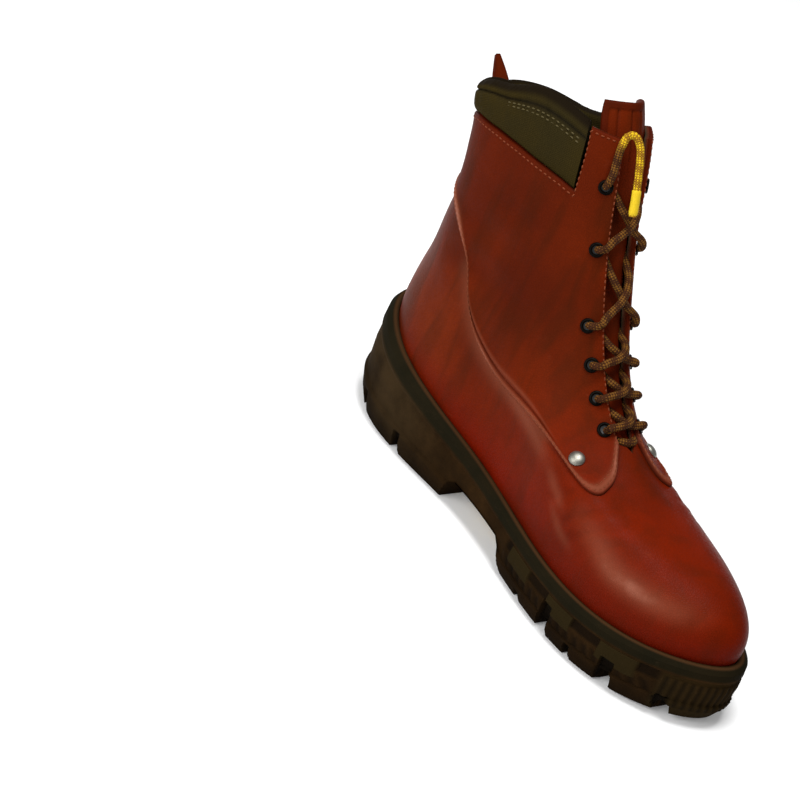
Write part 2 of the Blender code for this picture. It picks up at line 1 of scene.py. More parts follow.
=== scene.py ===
"""Dressed model of a high-top safety shoe: leather upper, padded collar, laces and cleated rubber sole.

Tables are in millimetres and meshes in metres. X runs from heel to toe, Y to the inner side of the
foot, Z up. Every piece of the upper is worked out from one smooth surface, the last.
"""

import math

import bmesh
import bpy
import numpy as np
from bpy.props import FloatProperty, FloatVectorProperty, PointerProperty
from mathutils import Matrix, Vector


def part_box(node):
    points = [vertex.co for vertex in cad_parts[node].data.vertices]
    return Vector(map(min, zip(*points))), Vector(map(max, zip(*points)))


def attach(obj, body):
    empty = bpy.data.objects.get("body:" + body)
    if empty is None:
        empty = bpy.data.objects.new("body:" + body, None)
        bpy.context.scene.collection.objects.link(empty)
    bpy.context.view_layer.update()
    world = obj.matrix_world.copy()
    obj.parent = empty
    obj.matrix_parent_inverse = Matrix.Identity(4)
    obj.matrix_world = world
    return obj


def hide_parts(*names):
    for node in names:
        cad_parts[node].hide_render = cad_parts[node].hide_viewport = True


bl_info = {
    "name": "High-top safety shoe",
    "version": (1, 0, 0),
    "blender": (4, 5, 0),
    "location": "View3D > Sidebar > Shoe",
    "description": "Leather, rubber, padding and laces of a high-top safety shoe",
    "category": "Add Mesh",
}

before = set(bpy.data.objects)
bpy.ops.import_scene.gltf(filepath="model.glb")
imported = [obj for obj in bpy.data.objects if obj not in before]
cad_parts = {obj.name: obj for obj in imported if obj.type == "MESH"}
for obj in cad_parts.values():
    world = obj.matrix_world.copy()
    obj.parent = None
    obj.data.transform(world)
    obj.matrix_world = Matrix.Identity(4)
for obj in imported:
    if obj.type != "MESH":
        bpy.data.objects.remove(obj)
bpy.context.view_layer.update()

MM = 0.001
# Share of the way around from the back at which the front lies.
FRONT = 0.5

# Sections of the last, from the seat in the sole up to the tongue's tip: where it is furthest back and
# front, how far it dips between them, and half widths of the outer and the inner side at four stations.
SECTION_COLUMNS = (
    "back_x", "back_z", "front_x", "front_y", "front_z", "dip",
    "out_heel", "out_waist", "out_ball", "out_toe", "in_heel", "in_waist", "in_ball", "in_toe",
)
SECTIONS = {
    "seat": (14.0, 30, 295, 4.5, 20, 5, 25.0, 26.0, 36.5, 26.0, 25.0, 22.0, 39.5, 29.0),
    "rim": (9.5, 60, 302, 4.5, 37, 17, 30.0, 29.0, 40.5, 29.5, 30.0, 26.0, 43.5, 32.0),
    "bulge": (9.5, 73, 301, 4.5, 51, 15, 31.0, 30.0, 41.0, 29.0, 31.0, 27.5, 43.0, 31.0),
    "toe_side": (10.5, 86, 291, 4.0, 62, 13, 30.5, 30.0, 39.0, 25.5, 30.5, 28.5, 38.5, 27.5),
    "toe_top": (12.0, 97, 268, 3.5, 69.5, 9, 29.5, 30.0, 35.0, 20.5, 29.5, 29.5, 33.0, 20.5),
    "vamp": (13.5, 108, 230, 2.0, 74, 6, 28.5, 30.0, 32.0, 17.5, 28.5, 30.0, 29.0, 16.5),
    "instep_low": (14.5, 121, 189, 1.0, 89, 4, 27.5, 30.0, 29.0, 16.0, 27.5, 30.0, 28.5, 16.0),
    "instep_high": (15.5, 135, 161, 0.5, 116, 2, 26.5, 31.0, 28.0, 15.5, 26.5, 31.0, 28.0, 15.5),
    "ankle": (16.5, 151, 140.5, 0.0, 149, 0, 26.0, 32.0, 28.5, 16.0, 26.0, 32.0, 28.5, 16.0),
    "shaft": (14.5, 168, 125, 0.0, 183, 0, 26.5, 33.5, 30.0, 17.0, 26.5, 33.5, 29.0, 15.5),
    "collar": (8.5, 188, 111, 0.0, 221, 0, 27.5, 34.5, 31.0, 18.0, 27.5, 34.5, 29.5, 15.5),
    "tongue": (-9.0, 209, 93, 0.0, 250, 0, 27.5, 34.0, 30.0, 17.0, 27.5, 34.0, 28.5, 14.5),
}
# Stations along a section: share of its length, and share of the way around.
STATIONS = {"heel": (0.12, 0.09), "waist": (0.40, 0.205), "ball": (0.68, 0.323), "toe": (0.91, 0.427)}

# Edges of the leather, as share of the way around from the back, and height.
TOP_EDGE = (
    (0.0, 178.0), (0.06, 184.0), (0.124, 190.0), (0.19, 192.5), (0.255, 193.5), (0.33, 193.3),
    (0.362, 192.7), (0.392, 191.0), (0.408, 224.0), (0.5, 224.0),
)
NOTCH_AROUND = 0.392
FACING_BACK_AROUND = 0.408
COLLAR_TOP = (
    (0.0, 194.0), (0.05, 197.5), (0.10, 202.0), (0.15, 209.0), (0.205, 215.0), (0.25, 221.0), (0.30, 226.5),
    (0.341, 228.0), (0.37, 227.5), (0.42, 225.0),
)
COLLAR_TOP_INNER = (
    (0.0, 194.0), (0.05, 195.5), (0.10, 197.0), (0.15, 198.5), (0.205, 203.0), (0.25, 208.0), (0.30, 212.0),
    (0.341, 214.5), (0.37, 215.5), (0.42, 216.0),
)
# Where the collar's top ends at the facings, outer and inner.
COLLAR_ENDS = (0.403, -0.397)
THROAT_HEIGHT = 87.0
FACING_AROUND = 0.463
# Quarter panel: place around and height of its seam, and the matching place on the top edge.
QUARTER = (
    (0.470, 88.5, 0.463), (0.443, 79.7, 0.449), (0.410, 75.2, 0.430), (0.376, 72.8, 0.408),
    (0.349, 73.6, 0.392), (0.317, 79.0, 0.345), (0.262, 80.5, 0.285), (0.213, 80.5, 0.235),
    (0.184, 88.0, 0.200), (0.178, 104.0, 0.168), (0.154, 126.0, 0.130), (0.089, 138.5, 0.078),
    (0.028, 143.0, 0.028),
)
# Rows of that table between which the seam runs along the side and up to the heel.
SIDE_SEAM = (5.0, 9.5)
# Hollow and swell above the seam on the side: distance from the seam, and half width.
SEAM_HOLLOW, SEAM_SWELL = (8.2, 1.3), (13.0, 2.2)
# Back tab and tongue: height, and half width as share of the way around.
BACK_TAB = (
    (128.0, 0.022), (150.0, 0.024), (168.0, 0.024), (184.0, 0.021), (196.0, 0.014), (205.0, 0.004),
)
TONGUE_ROWS = (
    (84.0, 0.070), (91.0, 0.095), (104.0, 0.105), (126.0, 0.105), (150.0, 0.100), (175.0, 0.092),
    (199.0, 0.085), (221.0, 0.080), (234.5, 0.078), (241.5, 0.072),
)
# Section of the collar, closed: share of its height, and offset from the last.
COLLAR_PAD = (
    (0.0, 0.2), (0.35, 1.7), (0.75, 1.3), (0.94, -1.0), (1.0, -3.6),
    (0.95, -6.4), (0.7, -8.2), (0.3, -8.4), (0.0, -7.6),
)
# Eyelets from the throat up: share of the way around, and height.
EYELETS = ((0.450, 92.0), (0.447, 103.0), (0.443, 116.0), (0.437, 132.5), (0.443, 168.5), (0.443, 199.5))
# Metal pieces turned about their axis: radius and height of each point.
EYELET_PROFILE = (
    (2.3, 0.0), (3.75, 0.0), (4.05, 0.25), (4.0, 0.65), (3.6, 1.05), (3.1, 1.2), (2.65, 1.1), (2.35, 0.75),
    (2.25, 0.3),
)
RIVET_PROFILE = (
    (0.0, 2.4), (1.2, 2.35), (2.3, 2.1), (3.2, 1.7), (3.9, 1.2), (4.3, 0.7), (4.4, 0.2), (4.3, -0.3),
)
# Painted shade: a black disc sunk in each eyelet's hole, radius and height of each point.
EYELET_HOLE = ((2.4, 0.35), (1.2, 0.15), (0.0, 0.1))
RIVET_AROUND = 0.374
RIVET_HEIGHT = 78.0

# Sole: share of the height from tread to rim, and offset from the upper's rim section.
SOLE_SIDE = (
    (0.0, 2.2), (0.15, 5.0), (0.29, 6.0), (0.32, 4.6), (0.58, 5.6), (0.76, 5.2),
    (0.79, 6.2), (0.93, 5.8), (0.985, 3.8), (1.0, 1.8),
)
# The heel draws in below: how far at the tread, up to what share of the height, and how far around.
HEEL_DRAW = (5.0, 0.3, 0.06)
# Arch: place along the foot, and height.
ARCH = ((112.0, -2.0), (116.0, 12.0), (121.0, 16.0), (166.0, 16.0), (171.0, 12.0), (178.0, -2.0))
# Grooves: place along the foot, width, depth in the middle, depth at the edge, height up the side.
GROOVES = (
    (34.0, 5.0, 2.5, 8.0, 12.0), (72.0, 5.0, 2.5, 8.0, 12.0), (197.0, 3.0, 2.0, 3.0, 5.0),
    (222.0, 7.0, 3.5, 8.5, 18.0), (243.0, 3.0, 2.0, 4.5, 8.0), (266.0, 7.0, 3.5, 8.5, 17.0),
    (293.0, 5.0, 3.0, 7.0, 13.0),
)
GROOVE_EDGE_REACH = 15.0
SLOT_DEPTH = 3.0
# The tread rises from the forefoot's end, by the toe spring, to the toe's tip.
FOREFOOT_END, TOE_SPRING, TOE_TIP = 242.0, 4.0, 307.0
# Where the band and the rim line of the sole's side begin, as share of the height.
BAND_EDGE, RIM_EDGE = (0.78, 0.84), (0.985, 0.995)
# Raised blocks on the sole's side: from and to along the foot, from and to as share of the height.
SIDE_BLOCKS = (
    (181.0, 203.0, 0.45, 0.78), (219.0, 241.0, 0.45, 0.78), (258.0, 280.0, 0.42, 0.78),
)

# Creases of the upper: side of the foot (-1 outer), three points along it as x and z, width, depth.
CREASES = (
    (-1, 196, 50, 203, 60, 214, 72, 2.6, 0.75), (-1, 207, 47, 215, 58, 226, 71, 2.3, 0.6),
    (-1, 184, 55, 189, 62, 196, 72, 2.4, 0.6), (-1, 220, 46, 227, 57, 236, 69, 2.2, 0.35),
    (1, 198, 50, 205, 60, 216, 73, 2.6, 0.75), (1, 209, 47, 217, 58, 228, 71, 2.3, 0.55),
    (1, 186, 55, 191, 63, 199, 74, 2.4, 0.5),
    (-1, 40, 112, 78, 126, 124, 118, 9.0, 1.3), (-1, 36, 138, 70, 147, 112, 139, 6.0, 0.8),
    (-1, 150, 92, 142, 108, 126, 124, 4.5, 0.7), (-1, 62, 160, 84, 165, 104, 158, 4.0, 0.5),
    (1, 42, 114, 80, 127, 124, 119, 9.0, 1.2), (1, 38, 140, 72, 148, 112, 140, 6.0, 0.7),
    (1, 150, 93, 142, 109, 126, 125, 4.5, 0.6),
)

# Painted highlights on the outer side, lines over the vamp and toe and along the quarter's seam: points along
# each as x and z, half width, strength.
PAINTED_HIGHLIGHTS = (
    (((207, 64), (228, 58.5), (241, 54.5), (259, 54), (276, 55), (286, 56.5)), 5.5, 0.75),
    (((173, 69), (186, 63), (197, 58)), 3.0, 0.5),
    (((108, 79), (124, 79), (140, 77), (156, 74), (172, 69)), 5.0, 0.75),
    (((186, 58), (200, 50), (214, 47)), 2.5, 0.4),
)
# Painted shade in patches on the outer side of the shaft: middle as x and z, half length, half height,
# strength.
PAINTED_SHADE_PATCHES = ((103.0, 137.0, 28.0, 28.0, 0.85), (84.0, 164.0, 24.0, 22.0, 0.6))

# Lace: where it meets the facings' edges, and where its lowest run, straight across, comes out.
LACE_AROUND, LACE_LOW_AROUND = 0.471, 0.448
# Distance along the lace in which its strands and its flecks repeat.
BRAID_PITCH, FLECK_PITCH = 2.6, 7.5
# Height of a crossing that runs over the other, and of one that runs under it, against the middle of both.
LACE_OVER, LACE_UNDER = 1.9, -0.9
# Length from its eyelet over which the free end still has the plain lace's colours, the darker copy, before
# its painted highlight.
LACE_MUTED = 24.0
# Free end over the tongue: share around, height and offset.
LACE_END = (
    (0.450, 207.0, 4.8), (0.453, 215.0, 5.0), (0.458, 222.0, 5.8), (0.465, 226.0, 6.8), (0.474, 226.5, 7.8),
    (0.481, 222.5, 8.6), (0.483, 214.5, 9.0), (0.484, 206.0, 9.2), (0.485, 198.0, 9.3), (0.485, 190.0, 9.3),
)


def length(label, about, metres):
    """Property of a length in metres."""
    return FloatProperty(name=label, description=about, default=metres, unit="LENGTH")


def angle(label, about, degrees):
    """Property of an angle, from its degrees."""
    return FloatProperty(name=label, description=about, default=math.radians(degrees), subtype="ANGLE")


def colour(label, about, *rgb):
    """Property of a colour, from its red, green and blue."""
    return FloatVectorProperty(name=label, description=about, default=rgb, subtype="COLOR")


class ShoeSizes(bpy.types.PropertyGroup):
    """Thicknesses and reliefs of the shoe's pieces."""

    wall: length("Wall", "Thickness of the upper's wall", 0.0022)
    panel: length("Panel", "Thickness of the quarter panels", 0.0016)
    tab: length("Back tab", "Thickness of the back tab", 0.0022)
    tongue: length("Tongue", "Thickness of the tongue", 0.004)
    lace: length("Lace", "Diameter of the lace", 0.0042)
    crease: FloatProperty(
        name="Creases", description="Depth of the creases, 1 as worn", default=1.0, subtype="FACTOR")
    stitch: length("Stitch", "Distance from stitch to stitch", 0.0031)


class ShoeColours(bpy.types.PropertyGroup):
    """Colours of the shoe's finishes."""

    leather: colour("Leather", "Red-brown of the shaft", 0.112, 0.0115, 0.0014)
    leather_toe: colour("Toe leather", "Redder tone of the vamp and toe", 0.15, 0.0092, 0.0006)
    leather_heel: colour("Heel leather", "Orange tone around the heel", 0.16, 0.02, 0.0025)
    leather_low: colour("Low leather", "Deep red along the sole", 0.125, 0.0035, 0.0003)
    # Darker tone of pores, patches and cut edges, and the painted shade in creases and hollows.
    leather_dark_and_shade: colour("Leather in folds", "Tone in creases and cut edges", 0.042, 0.0045, 0.0012)
    leather_dye: colour("Dye streaks", "Browner upright streaks", 0.03, 0.0078, 0.0018)
    leather_scuff: colour("Leather scuffs", "Paler scuffed leather", 0.2, 0.045, 0.02)
    # Painted highlight along the quarter's seam, over the toe and on the swell above the seam.
    leather_seam_highlight: colour("Seam ridge", "Rubbed ridge along the quarter's seam", 0.2, 0.058, 0.03)
    # Painted highlight: palest flecks on the lit bands.
    leather_highlight_fleck: colour("Rubbed flecks", "Palest flecks of rubbed leather", 0.34, 0.13, 0.085)
    lining: colour("Lining", "Textile lining of the upper", 0.04, 0.028, 0.016)
    thread: colour("Thread", "Stitching of the panels", 0.2, 0.045, 0.016)
    thread_collar: colour("Collar thread", "Stitching of the collar", 0.09, 0.07, 0.028)
    collar: colour("Collar", "Olive grey of the padded collar", 0.031, 0.021, 0.0045)
    collar_worn: colour("Worn collar", "Greyer patches of the collar", 0.02, 0.016, 0.006)
    collar_gap: colour("Weave gaps", "Between the threads of the collar", 0.008, 0.006, 0.003)
    # Painted shade on the collar's rolled top edge and in its sewn channel.
    collar_roll_shade: colour("Collar edge", "Rolled top edge of the collar", 0.009, 0.006, 0.003)
    collar_channel_shade: colour("Collar channel", "Sewn channel of the collar", 0.006, 0.005, 0.004)
    sole: colour("Sole", "Dark rubber of the sole", 0.029, 0.0138, 0.0042)
    sole_heel: colour("Sole heel", "Greyer rubber of the heel", 0.034, 0.023, 0.011)
    sole_worn: colour("Worn sole", "Darker patches of the rubber", 0.008, 0.0045, 0.002)
    sole_low: colour("Low sole", "Rubber towards the tread", 0.004, 0.0026, 0.0015)
    sole_band: colour("Sole band", "Upper band of the sole's side", 0.0068, 0.0068, 0.0036)
    sole_block: colour("Sole blocks", "Flat blocks on the sole's side", 0.0165, 0.0115, 0.004)
    sole_scuff: colour("Sole scuffs", "Paler scuffed rubber", 0.06, 0.036, 0.02)
    # Painted shade in the grooves, slots, pocket and low parts of the sole's side.
    sole_groove_shade: colour("Sole grooves", "Grooves and slots of the sole", 0.003, 0.0025, 0.002)
    # Edge wear and a painted highlight along the sole's rim.
    sole_rim_wear_and_highlight: colour("Sole rim", "Edge of the sole along the leather", 0.1, 0.042, 0.016)
    # The crossings' colours are a darker copy of the lace, partly dirt and partly painted shade; the free
    # end's paler, yellower colours are a lit copy, painted highlight.
    lace: colour("Lace", "Brown of the lace", 0.042, 0.012, 0.003)
    lace_fleck: colour("Lace flecks", "Dull gold of the lace", 0.16, 0.066, 0.009)
    lace_gap: colour("Lace gaps", "Between the strands of the lace", 0.025, 0.009, 0.003)
    lace_end: colour("Lace end", "Ground of the lace's free end", 0.3, 0.14, 0.008)
    lace_end_lit_fleck: colour("Lace end flecks", "Bright yellow of the free end", 0.72, 0.46, 0.012)
    lace_tip: colour("Lace tip", "Sheath of the free end's tip", 0.8, 0.55, 0.02)
    eyelet: colour("Eyelets", "Blackened metal of the eyelets", 0.007, 0.006, 0.005)
    eyelet_stain: colour("Eyelet stains", "Dull patches of the eyelets", 0.003, 0.003, 0.003)
    rivet: colour("Rivets", "Bright metal of the rivets", 0.34, 0.33, 0.29)
    rivet_stain: colour("Rivet stains", "Dull patches of the rivets", 0.12, 0.11, 0.085)
    # Painted shade on the disc in each eyelet's hole.
    hole: colour("Eyelet holes", "Black inside the eyelets", 0.002, 0.002, 0.002)
    insole: colour("Insole", "Brown felt of the insole", 0.05, 0.036, 0.024)
    insole_fibre: colour("Insole fibres", "Pale fibres of the felt", 0.16, 0.12, 0.08)
    insole_worn: colour("Worn insole", "Trodden patches of the felt", 0.05, 0.036, 0.026)
    label: colour("Label", "Yellow plate in the arch", 0.68, 0.46, 0.02)
    label_worn: colour("Worn label", "Darker patches of the plate", 0.45, 0.3, 0.02)
    label_scuff: colour("Label scuffs", "Scuffs of the plate", 0.2, 0.14, 0.04)


class ShoeView(bpy.types.PropertyGroup):
    """Where the camera stands."""

    yaw: angle("Yaw", "Turn of the view from the outer side to the toe", 38.0)
    elevation: angle("Elevation", "Height of the view over the floor", 28.0)
    roll: angle("Roll", "Turn of the picture", 25.75)
    distance: length("Distance", "Distance from the shoe's middle", 1.6)
    lens: FloatProperty(name="Lens", description="Focal length in millimetres", default=137.5)


def sizes():
    """Sizes set in the scene."""
    return bpy.context.scene.shoe_sizes


def colours():
    """Colours set in the scene."""
    return bpy.context.scene.shoe_colours


def bell(value, width):
    """Bell curve: 1 at 0, and e to the minus square of value over width elsewhere."""
    return np.exp(-((value / width) ** 2))


def step(value, low, high):
    """Smooth step from 0 at low to 1 at high."""
    share = np.clip((value - low) / (high - low), 0, 1)
    return share * share * (3 - 2 * share)


def unit(vectors):
    """Vectors brought to length 1."""
    return vectors / np.linalg.norm(vectors, axis=-1, keepdims=True)


def rounded(near, radius):
    """Quarter-round edge: from 0 at the border to 1 at the radius in from it."""
    return np.sqrt(1 - (1 - np.clip(near / radius, 0, 1)) ** 2)


def slope_matrix(knots, period=None):
    """Matrix that turns the values at the knots into the slopes of the smooth cubic through them."""
    count = len(knots)
    gaps = np.diff(knots) if period is None else np.diff(knots, append=knots[0] + period)
    slopes, values = np.zeros((count, count)), np.zeros((count, count))
    for i in range(count):
        for other, sign in ((i - 1, -1), (i + 1, 1)):
            if period is None and not 0 <= other < count:
                continue
            gap, other = gaps[min(i, other)], other % count
            slopes[i, other] += 1 / gap
            slopes[i, i] += 2 / gap
            values[i, other] += sign * 3 / gap**2
            values[i, i] -= sign * 3 / gap**2
    return np.linalg.solve(slopes, values)


def cubic(start, end, start_slope, end_slope, gap, share):
    """Point on the cubic between two knots, a share of the way along."""
    rise = share**2 * (3 - 2 * share)
    return (
        start + rise * (end - start)
        + gap * share * (1 - share) * ((1 - share) * start_slope - share * end_slope)
    )


def section_points(row):
    """Control points of one section, round from the back by the outer side to the front and home."""
    size = dict(zip(SECTION_COLUMNS, row))
    span = size["front_x"] - size["back_x"]

    def at(share, y):
        height = size["back_z"] + (size["front_z"] - size["back_z"]) * share
        return (size["back_x"] + span * share, y, height - size["dip"] * 4 * share * (1 - share))

    outer = [at(share, -size["out_" + name]) for name, (share, _) in STATIONS.items()]
    inner = [at(share, size["in_" + name]) for name, (share, _) in STATIONS.items()]
    return [at(0.0, 0.0), *outer, at(1.0, size["front_y"]), *reversed(inner)]


NET = np.array([section_points(row) for row in SECTIONS.values()])
LEVELS = np.concatenate([[0.0], np.cumsum(np.linalg.norm(np.diff(NET, axis=0), axis=2).mean(axis=1))])
RIM_LEVEL = LEVELS[1]
NET_SLOPES = np.einsum("ij,jkl->ikl", slope_matrix(LEVELS), NET)
OUTER_AROUND = [around for _, around in STATIONS.values()]
AROUND_KNOTS = np.array([0.0, *OUTER_AROUND, FRONT, *[1 - a for a in reversed(OUTER_AROUND)]])
AROUND_SLOPES = slope_matrix(AROUND_KNOTS, period=1.0)
AROUND_GAPS = np.diff(AROUND_KNOTS, append=1.0)


def last_surface(around, level):
    """Points of the last: a cubic up through the sections, then a closed cubic round the ring there."""
    around, level = np.broadcast_arrays(np.asarray(around, float), np.asarray(level, float))
    shape, around, level = around.shape, around.ravel() % 1.0, level.ravel()
    i = np.clip(np.searchsorted(LEVELS, level, "right") - 1, 0, len(LEVELS) - 2)
    gap = (LEVELS[i + 1] - LEVELS[i])[:, None, None]
    share = (level - LEVELS[i])[:, None, None] / gap
    ring = cubic(NET[i], NET[i + 1], NET_SLOPES[i], NET_SLOPES[i + 1], gap, share)
    slopes = np.einsum("ij,mjk->mik", AROUND_SLOPES, ring)
    a = np.clip(np.searchsorted(AROUND_KNOTS, around, "right") - 1, 0, len(AROUND_KNOTS) - 1)
    b = (a + 1) % len(AROUND_KNOTS)
    row = np.arange(len(a))
    gap = AROUND_GAPS[a][:, None]
    share = (around - AROUND_KNOTS[a])[:, None] / gap
    points = cubic(ring[row, a], ring[row, b], slopes[row, a], slopes[row, b], gap, share)
    return points.reshape(*shape, 3)


def last_normal(around, level):
    """Outward normals of the last, across the two directions on it."""
    around, level = np.broadcast_arrays(np.asarray(around, float), np.asarray(level, float))
    along = last_surface(around + 0.001, level) - last_surface(around - 0.001, level)
    up = last_surface(around, level + 0.5) - last_surface(around, level - 0.5)
    return unit(np.cross(along, up))


LEVEL_SAMPLES = np.linspace(LEVELS[0], LEVELS[-1], 160)
AROUND_SAMPLES = np.linspace(0.0, 1.0, 721)
LAST_HEIGHTS = last_surface(AROUND_SAMPLES[:, None], LEVEL_SAMPLES)[..., 2]


def level_at(around, height):
    """Level at which the last reaches a height, read from the table of its heights."""
    around, height = np.broadcast_arrays(np.asarray(around, float), np.asarray(height, float))
    place = around.ravel() % 1.0 * (len(AROUND_SAMPLES) - 1)
    i = np.minimum(place.astype(int), len(AROUND_SAMPLES) - 2)
    share = (place - i)[:, None]
    heights = LAST_HEIGHTS[i] * (1 - share) + LAST_HEIGHTS[i + 1] * share
    wanted = height.ravel()
    above = np.clip((heights < wanted[:, None]).sum(axis=1), 1, len(LEVEL_SAMPLES) - 1)
    row = np.arange(len(above))
    low, high = heights[row, above - 1], heights[row, above]
    share = np.clip((wanted - low) / (high - low), 0, 1)
    found = LEVEL_SAMPLES[above - 1] + share * (LEVEL_SAMPLES[above] - LEVEL_SAMPLES[above - 1])
    return found.reshape(around.shape)


def from_back(around):
    """Share of the way around from the back, the same on both sides."""
    around = np.asarray(around, float) % 1.0
    return np.minimum(around, 1 - around)


def table_at(table, where):
    """Value read straight between the rows of a two-column table."""
    return np.interp(where, *np.array(table).T)


def natural(keys, rows, where):
    """Rows of a table on the natural cubic through them, by their keys."""
    slopes = slope_matrix(keys) @ rows
    i = np.clip(np.searchsorted(keys, where, "right") - 1, 0, len(keys) - 2)
    gap = (keys[i + 1] - keys[i])[:, None]
    return cubic(rows[i], rows[i + 1], slopes[i], slopes[i + 1], gap, (where - keys[i])[:, None] / gap)


def smooth_at(table, where):
    """Value read on the natural cubic through the rows of a two-column table."""
    table = np.array(table)
    return natural(table[:, 0], table[:, 1:], where)[:, 0]


def smooth_through(table, count, first=0.0, last=None):
    """Rows of a table on the natural cubic through them, at even places counted in rows, up to just short
    of the last row where no last place is given."""
    last = len(table) - 1.001 if last is None else last
    return natural(np.arange(len(table)), np.array(table, float), np.linspace(first, last, count))


def run_from_start(points, axis=0):
    """Distance along a grid's lines from their start."""
    steps = np.linalg.norm(np.diff(points, axis=axis), axis=-1)
    first = np.zeros_like(np.take(steps, [0], axis=axis))
    return np.cumsum(np.concatenate([first, steps], axis=axis), axis=axis)


def read_along(points, run, places):
    """Points read straight between those of a line, by their distance along it."""
    return np.stack([np.interp(places, run, column) for column in points.T], axis=1)


def even_path(points, count):
    """The natural cubic through the points, resampled at equal distances along it."""
    fine = smooth_through(points, 40 * len(points))
    run = run_from_start(fine)
    return read_along(fine, run, np.linspace(0, run[-1], count))


def to_line(x, z, line):
    """Distance of points from a line of samples in x and z, and how far along it the nearest one is."""
    apart = np.hypot(x[..., None] - line[:, 0], z[..., None] - line[:, 1])
    return apart.min(axis=-1), apart.argmin(axis=-1) / (len(line) - 1)


def faded(along, margin, power):
    """Strength along a line: a half sine from end to end raised to a power, never quite 0."""
    return np.sin(np.pi * np.clip(along, margin, 1 - margin)) ** power


def relief(points):
    """Height of the leather over the last: a trough of bell section along each crease with a low ridge
    either side, fading to the crease's ends, and a slow waviness of three sines."""
    x, y, z = np.moveaxis(points, -1, 0)
    total = 0.16 * np.sin(x / 17 + z / 23) * np.sin(z / 13 - x / 31 + 1.0)
    total = total + 0.1 * np.sin(x / 7 + y / 9 + z / 11)
    share = np.linspace(0, 1, 33)[:, None]
    for side, *corners, width, depth in CREASES:
        start, bend, end = np.reshape(corners, (3, 2))
        line = (1 - share) ** 2 * start + 2 * share * (1 - share) * bend + share**2 * end
        distance, along = to_line(x, z, line)
        trough = 0.4 * bell(distance - 2 * width, width) - bell(distance, width)
        total = total + depth * faded(along, 0.02, 0.7) * step(side * y, 0.0, 8.0) * trough
    return total * sizes().crease


def painted_light_places(points):
    """Masks of the painted highlights, a bell across each line that fades to its ends, and of the painted
    shade, a bell from the middle of each patch, on the outer side of the foot."""
    x, y, z = np.moveaxis(points, -1, 0)
    outer = step(-y, 0.0, 10.0)
    pale, dark = np.zeros_like(x), np.zeros_like(x)
    for corners, width, strength in PAINTED_HIGHLIGHTS:
        distance, along = to_line(x, z, smooth_through(corners, 40))
        pale = np.maximum(pale, strength * faded(along, 0.03, 0.6) * bell(distance, width))
    for middle_x, middle_z, long, high, strength in PAINTED_SHADE_PATCHES:
        dark = np.maximum(dark, strength * bell(x - middle_x, long) * bell(z - middle_z, high))
    return pale * outer, dark * outer


def on_shoe(around, level, offset, folded=True):
    """Points at an offset outward from the last, with the leather's relief added where it is folded."""
    base = last_surface(around, level)
    offset = np.broadcast_to(np.asarray(offset, float), base.shape[:-1])
    if folded:
        offset = offset + relief(base)
    return base + offset[..., None] * last_normal(around, level)


def plan_outward(around):
    """Outward directions of the last at its rim, seen from above."""
    return unit(last_normal(around, RIM_LEVEL) * (1.0, 1.0, 0.0))


def frame_shift():
    """Shift from the tables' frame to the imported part's: the sole's box in one against the other."""
    around = np.arange(64) / 64
    ring = last_surface(around, RIM_LEVEL)
    ring = ring + max(offset for _, offset in SOLE_SIDE) * plan_outward(around)
    middle = np.array(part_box("sole")).sum(axis=0)[:2] / 2 / MM
    own = (ring.min(axis=0) + ring.max(axis=0))[:2] / 2
    return np.array([*(middle - own), 0.0])


SHIFT = frame_shift()


def quads(rows, columns, start=0, wrap=False):
    """Faces of a grid: each joins a point to the next along its row and to the row above."""
    i = np.arange(columns if wrap else columns - 1)
    j = np.arange(rows - 1)[:, None]
    a, b = j * columns + i, j * columns + (i + 1) % columns
    return start + np.stack([a, b, b + columns, a + columns], axis=-1).reshape(-1, 4)


def slab(outer, inner, closed_rows=0):
    """Points and faces of a sheet between two matching grids, with its edges closed."""
    rows, columns = outer.shape[:2]
    size = rows * columns
    faces = quads(rows, columns)
    i, j = np.arange(columns - 1), np.arange(closed_rows, rows - 1)
    top = size - columns + i
    rim = np.concatenate([
        np.column_stack([i, i + 1]), np.column_stack([top + 1, top]),
        np.column_stack([(j + 1) * columns, j * columns]),
        np.column_stack([(j + 1) * columns - 1, (j + 2) * columns - 1]),
    ])
    edge = np.column_stack([rim[:, 1], rim[:, 0], rim[:, 0] + size, rim[:, 1] + size])
    points = np.concatenate([outer.reshape(-1, 3), inner.reshape(-1, 3)])
    return points, np.concatenate([faces, faces[:, ::-1] + size, edge])


def both(values, inner=None):
    """A grid's values for the outer and the inner face of a slab."""
    inner = values if inner is None else np.broadcast_to(inner, values.shape)
    return np.concatenate([values.ravel(), inner.ravel()])


def joined(parts):
    """Points and faces of several bodies together."""
    starts = np.cumsum([0] + [len(part[0]) for part in parts[:-1]])
    faces = [part[1] + start for part, start in zip(parts, starts)]
    return np.concatenate([part[0] for part in parts]), np.concatenate(faces)


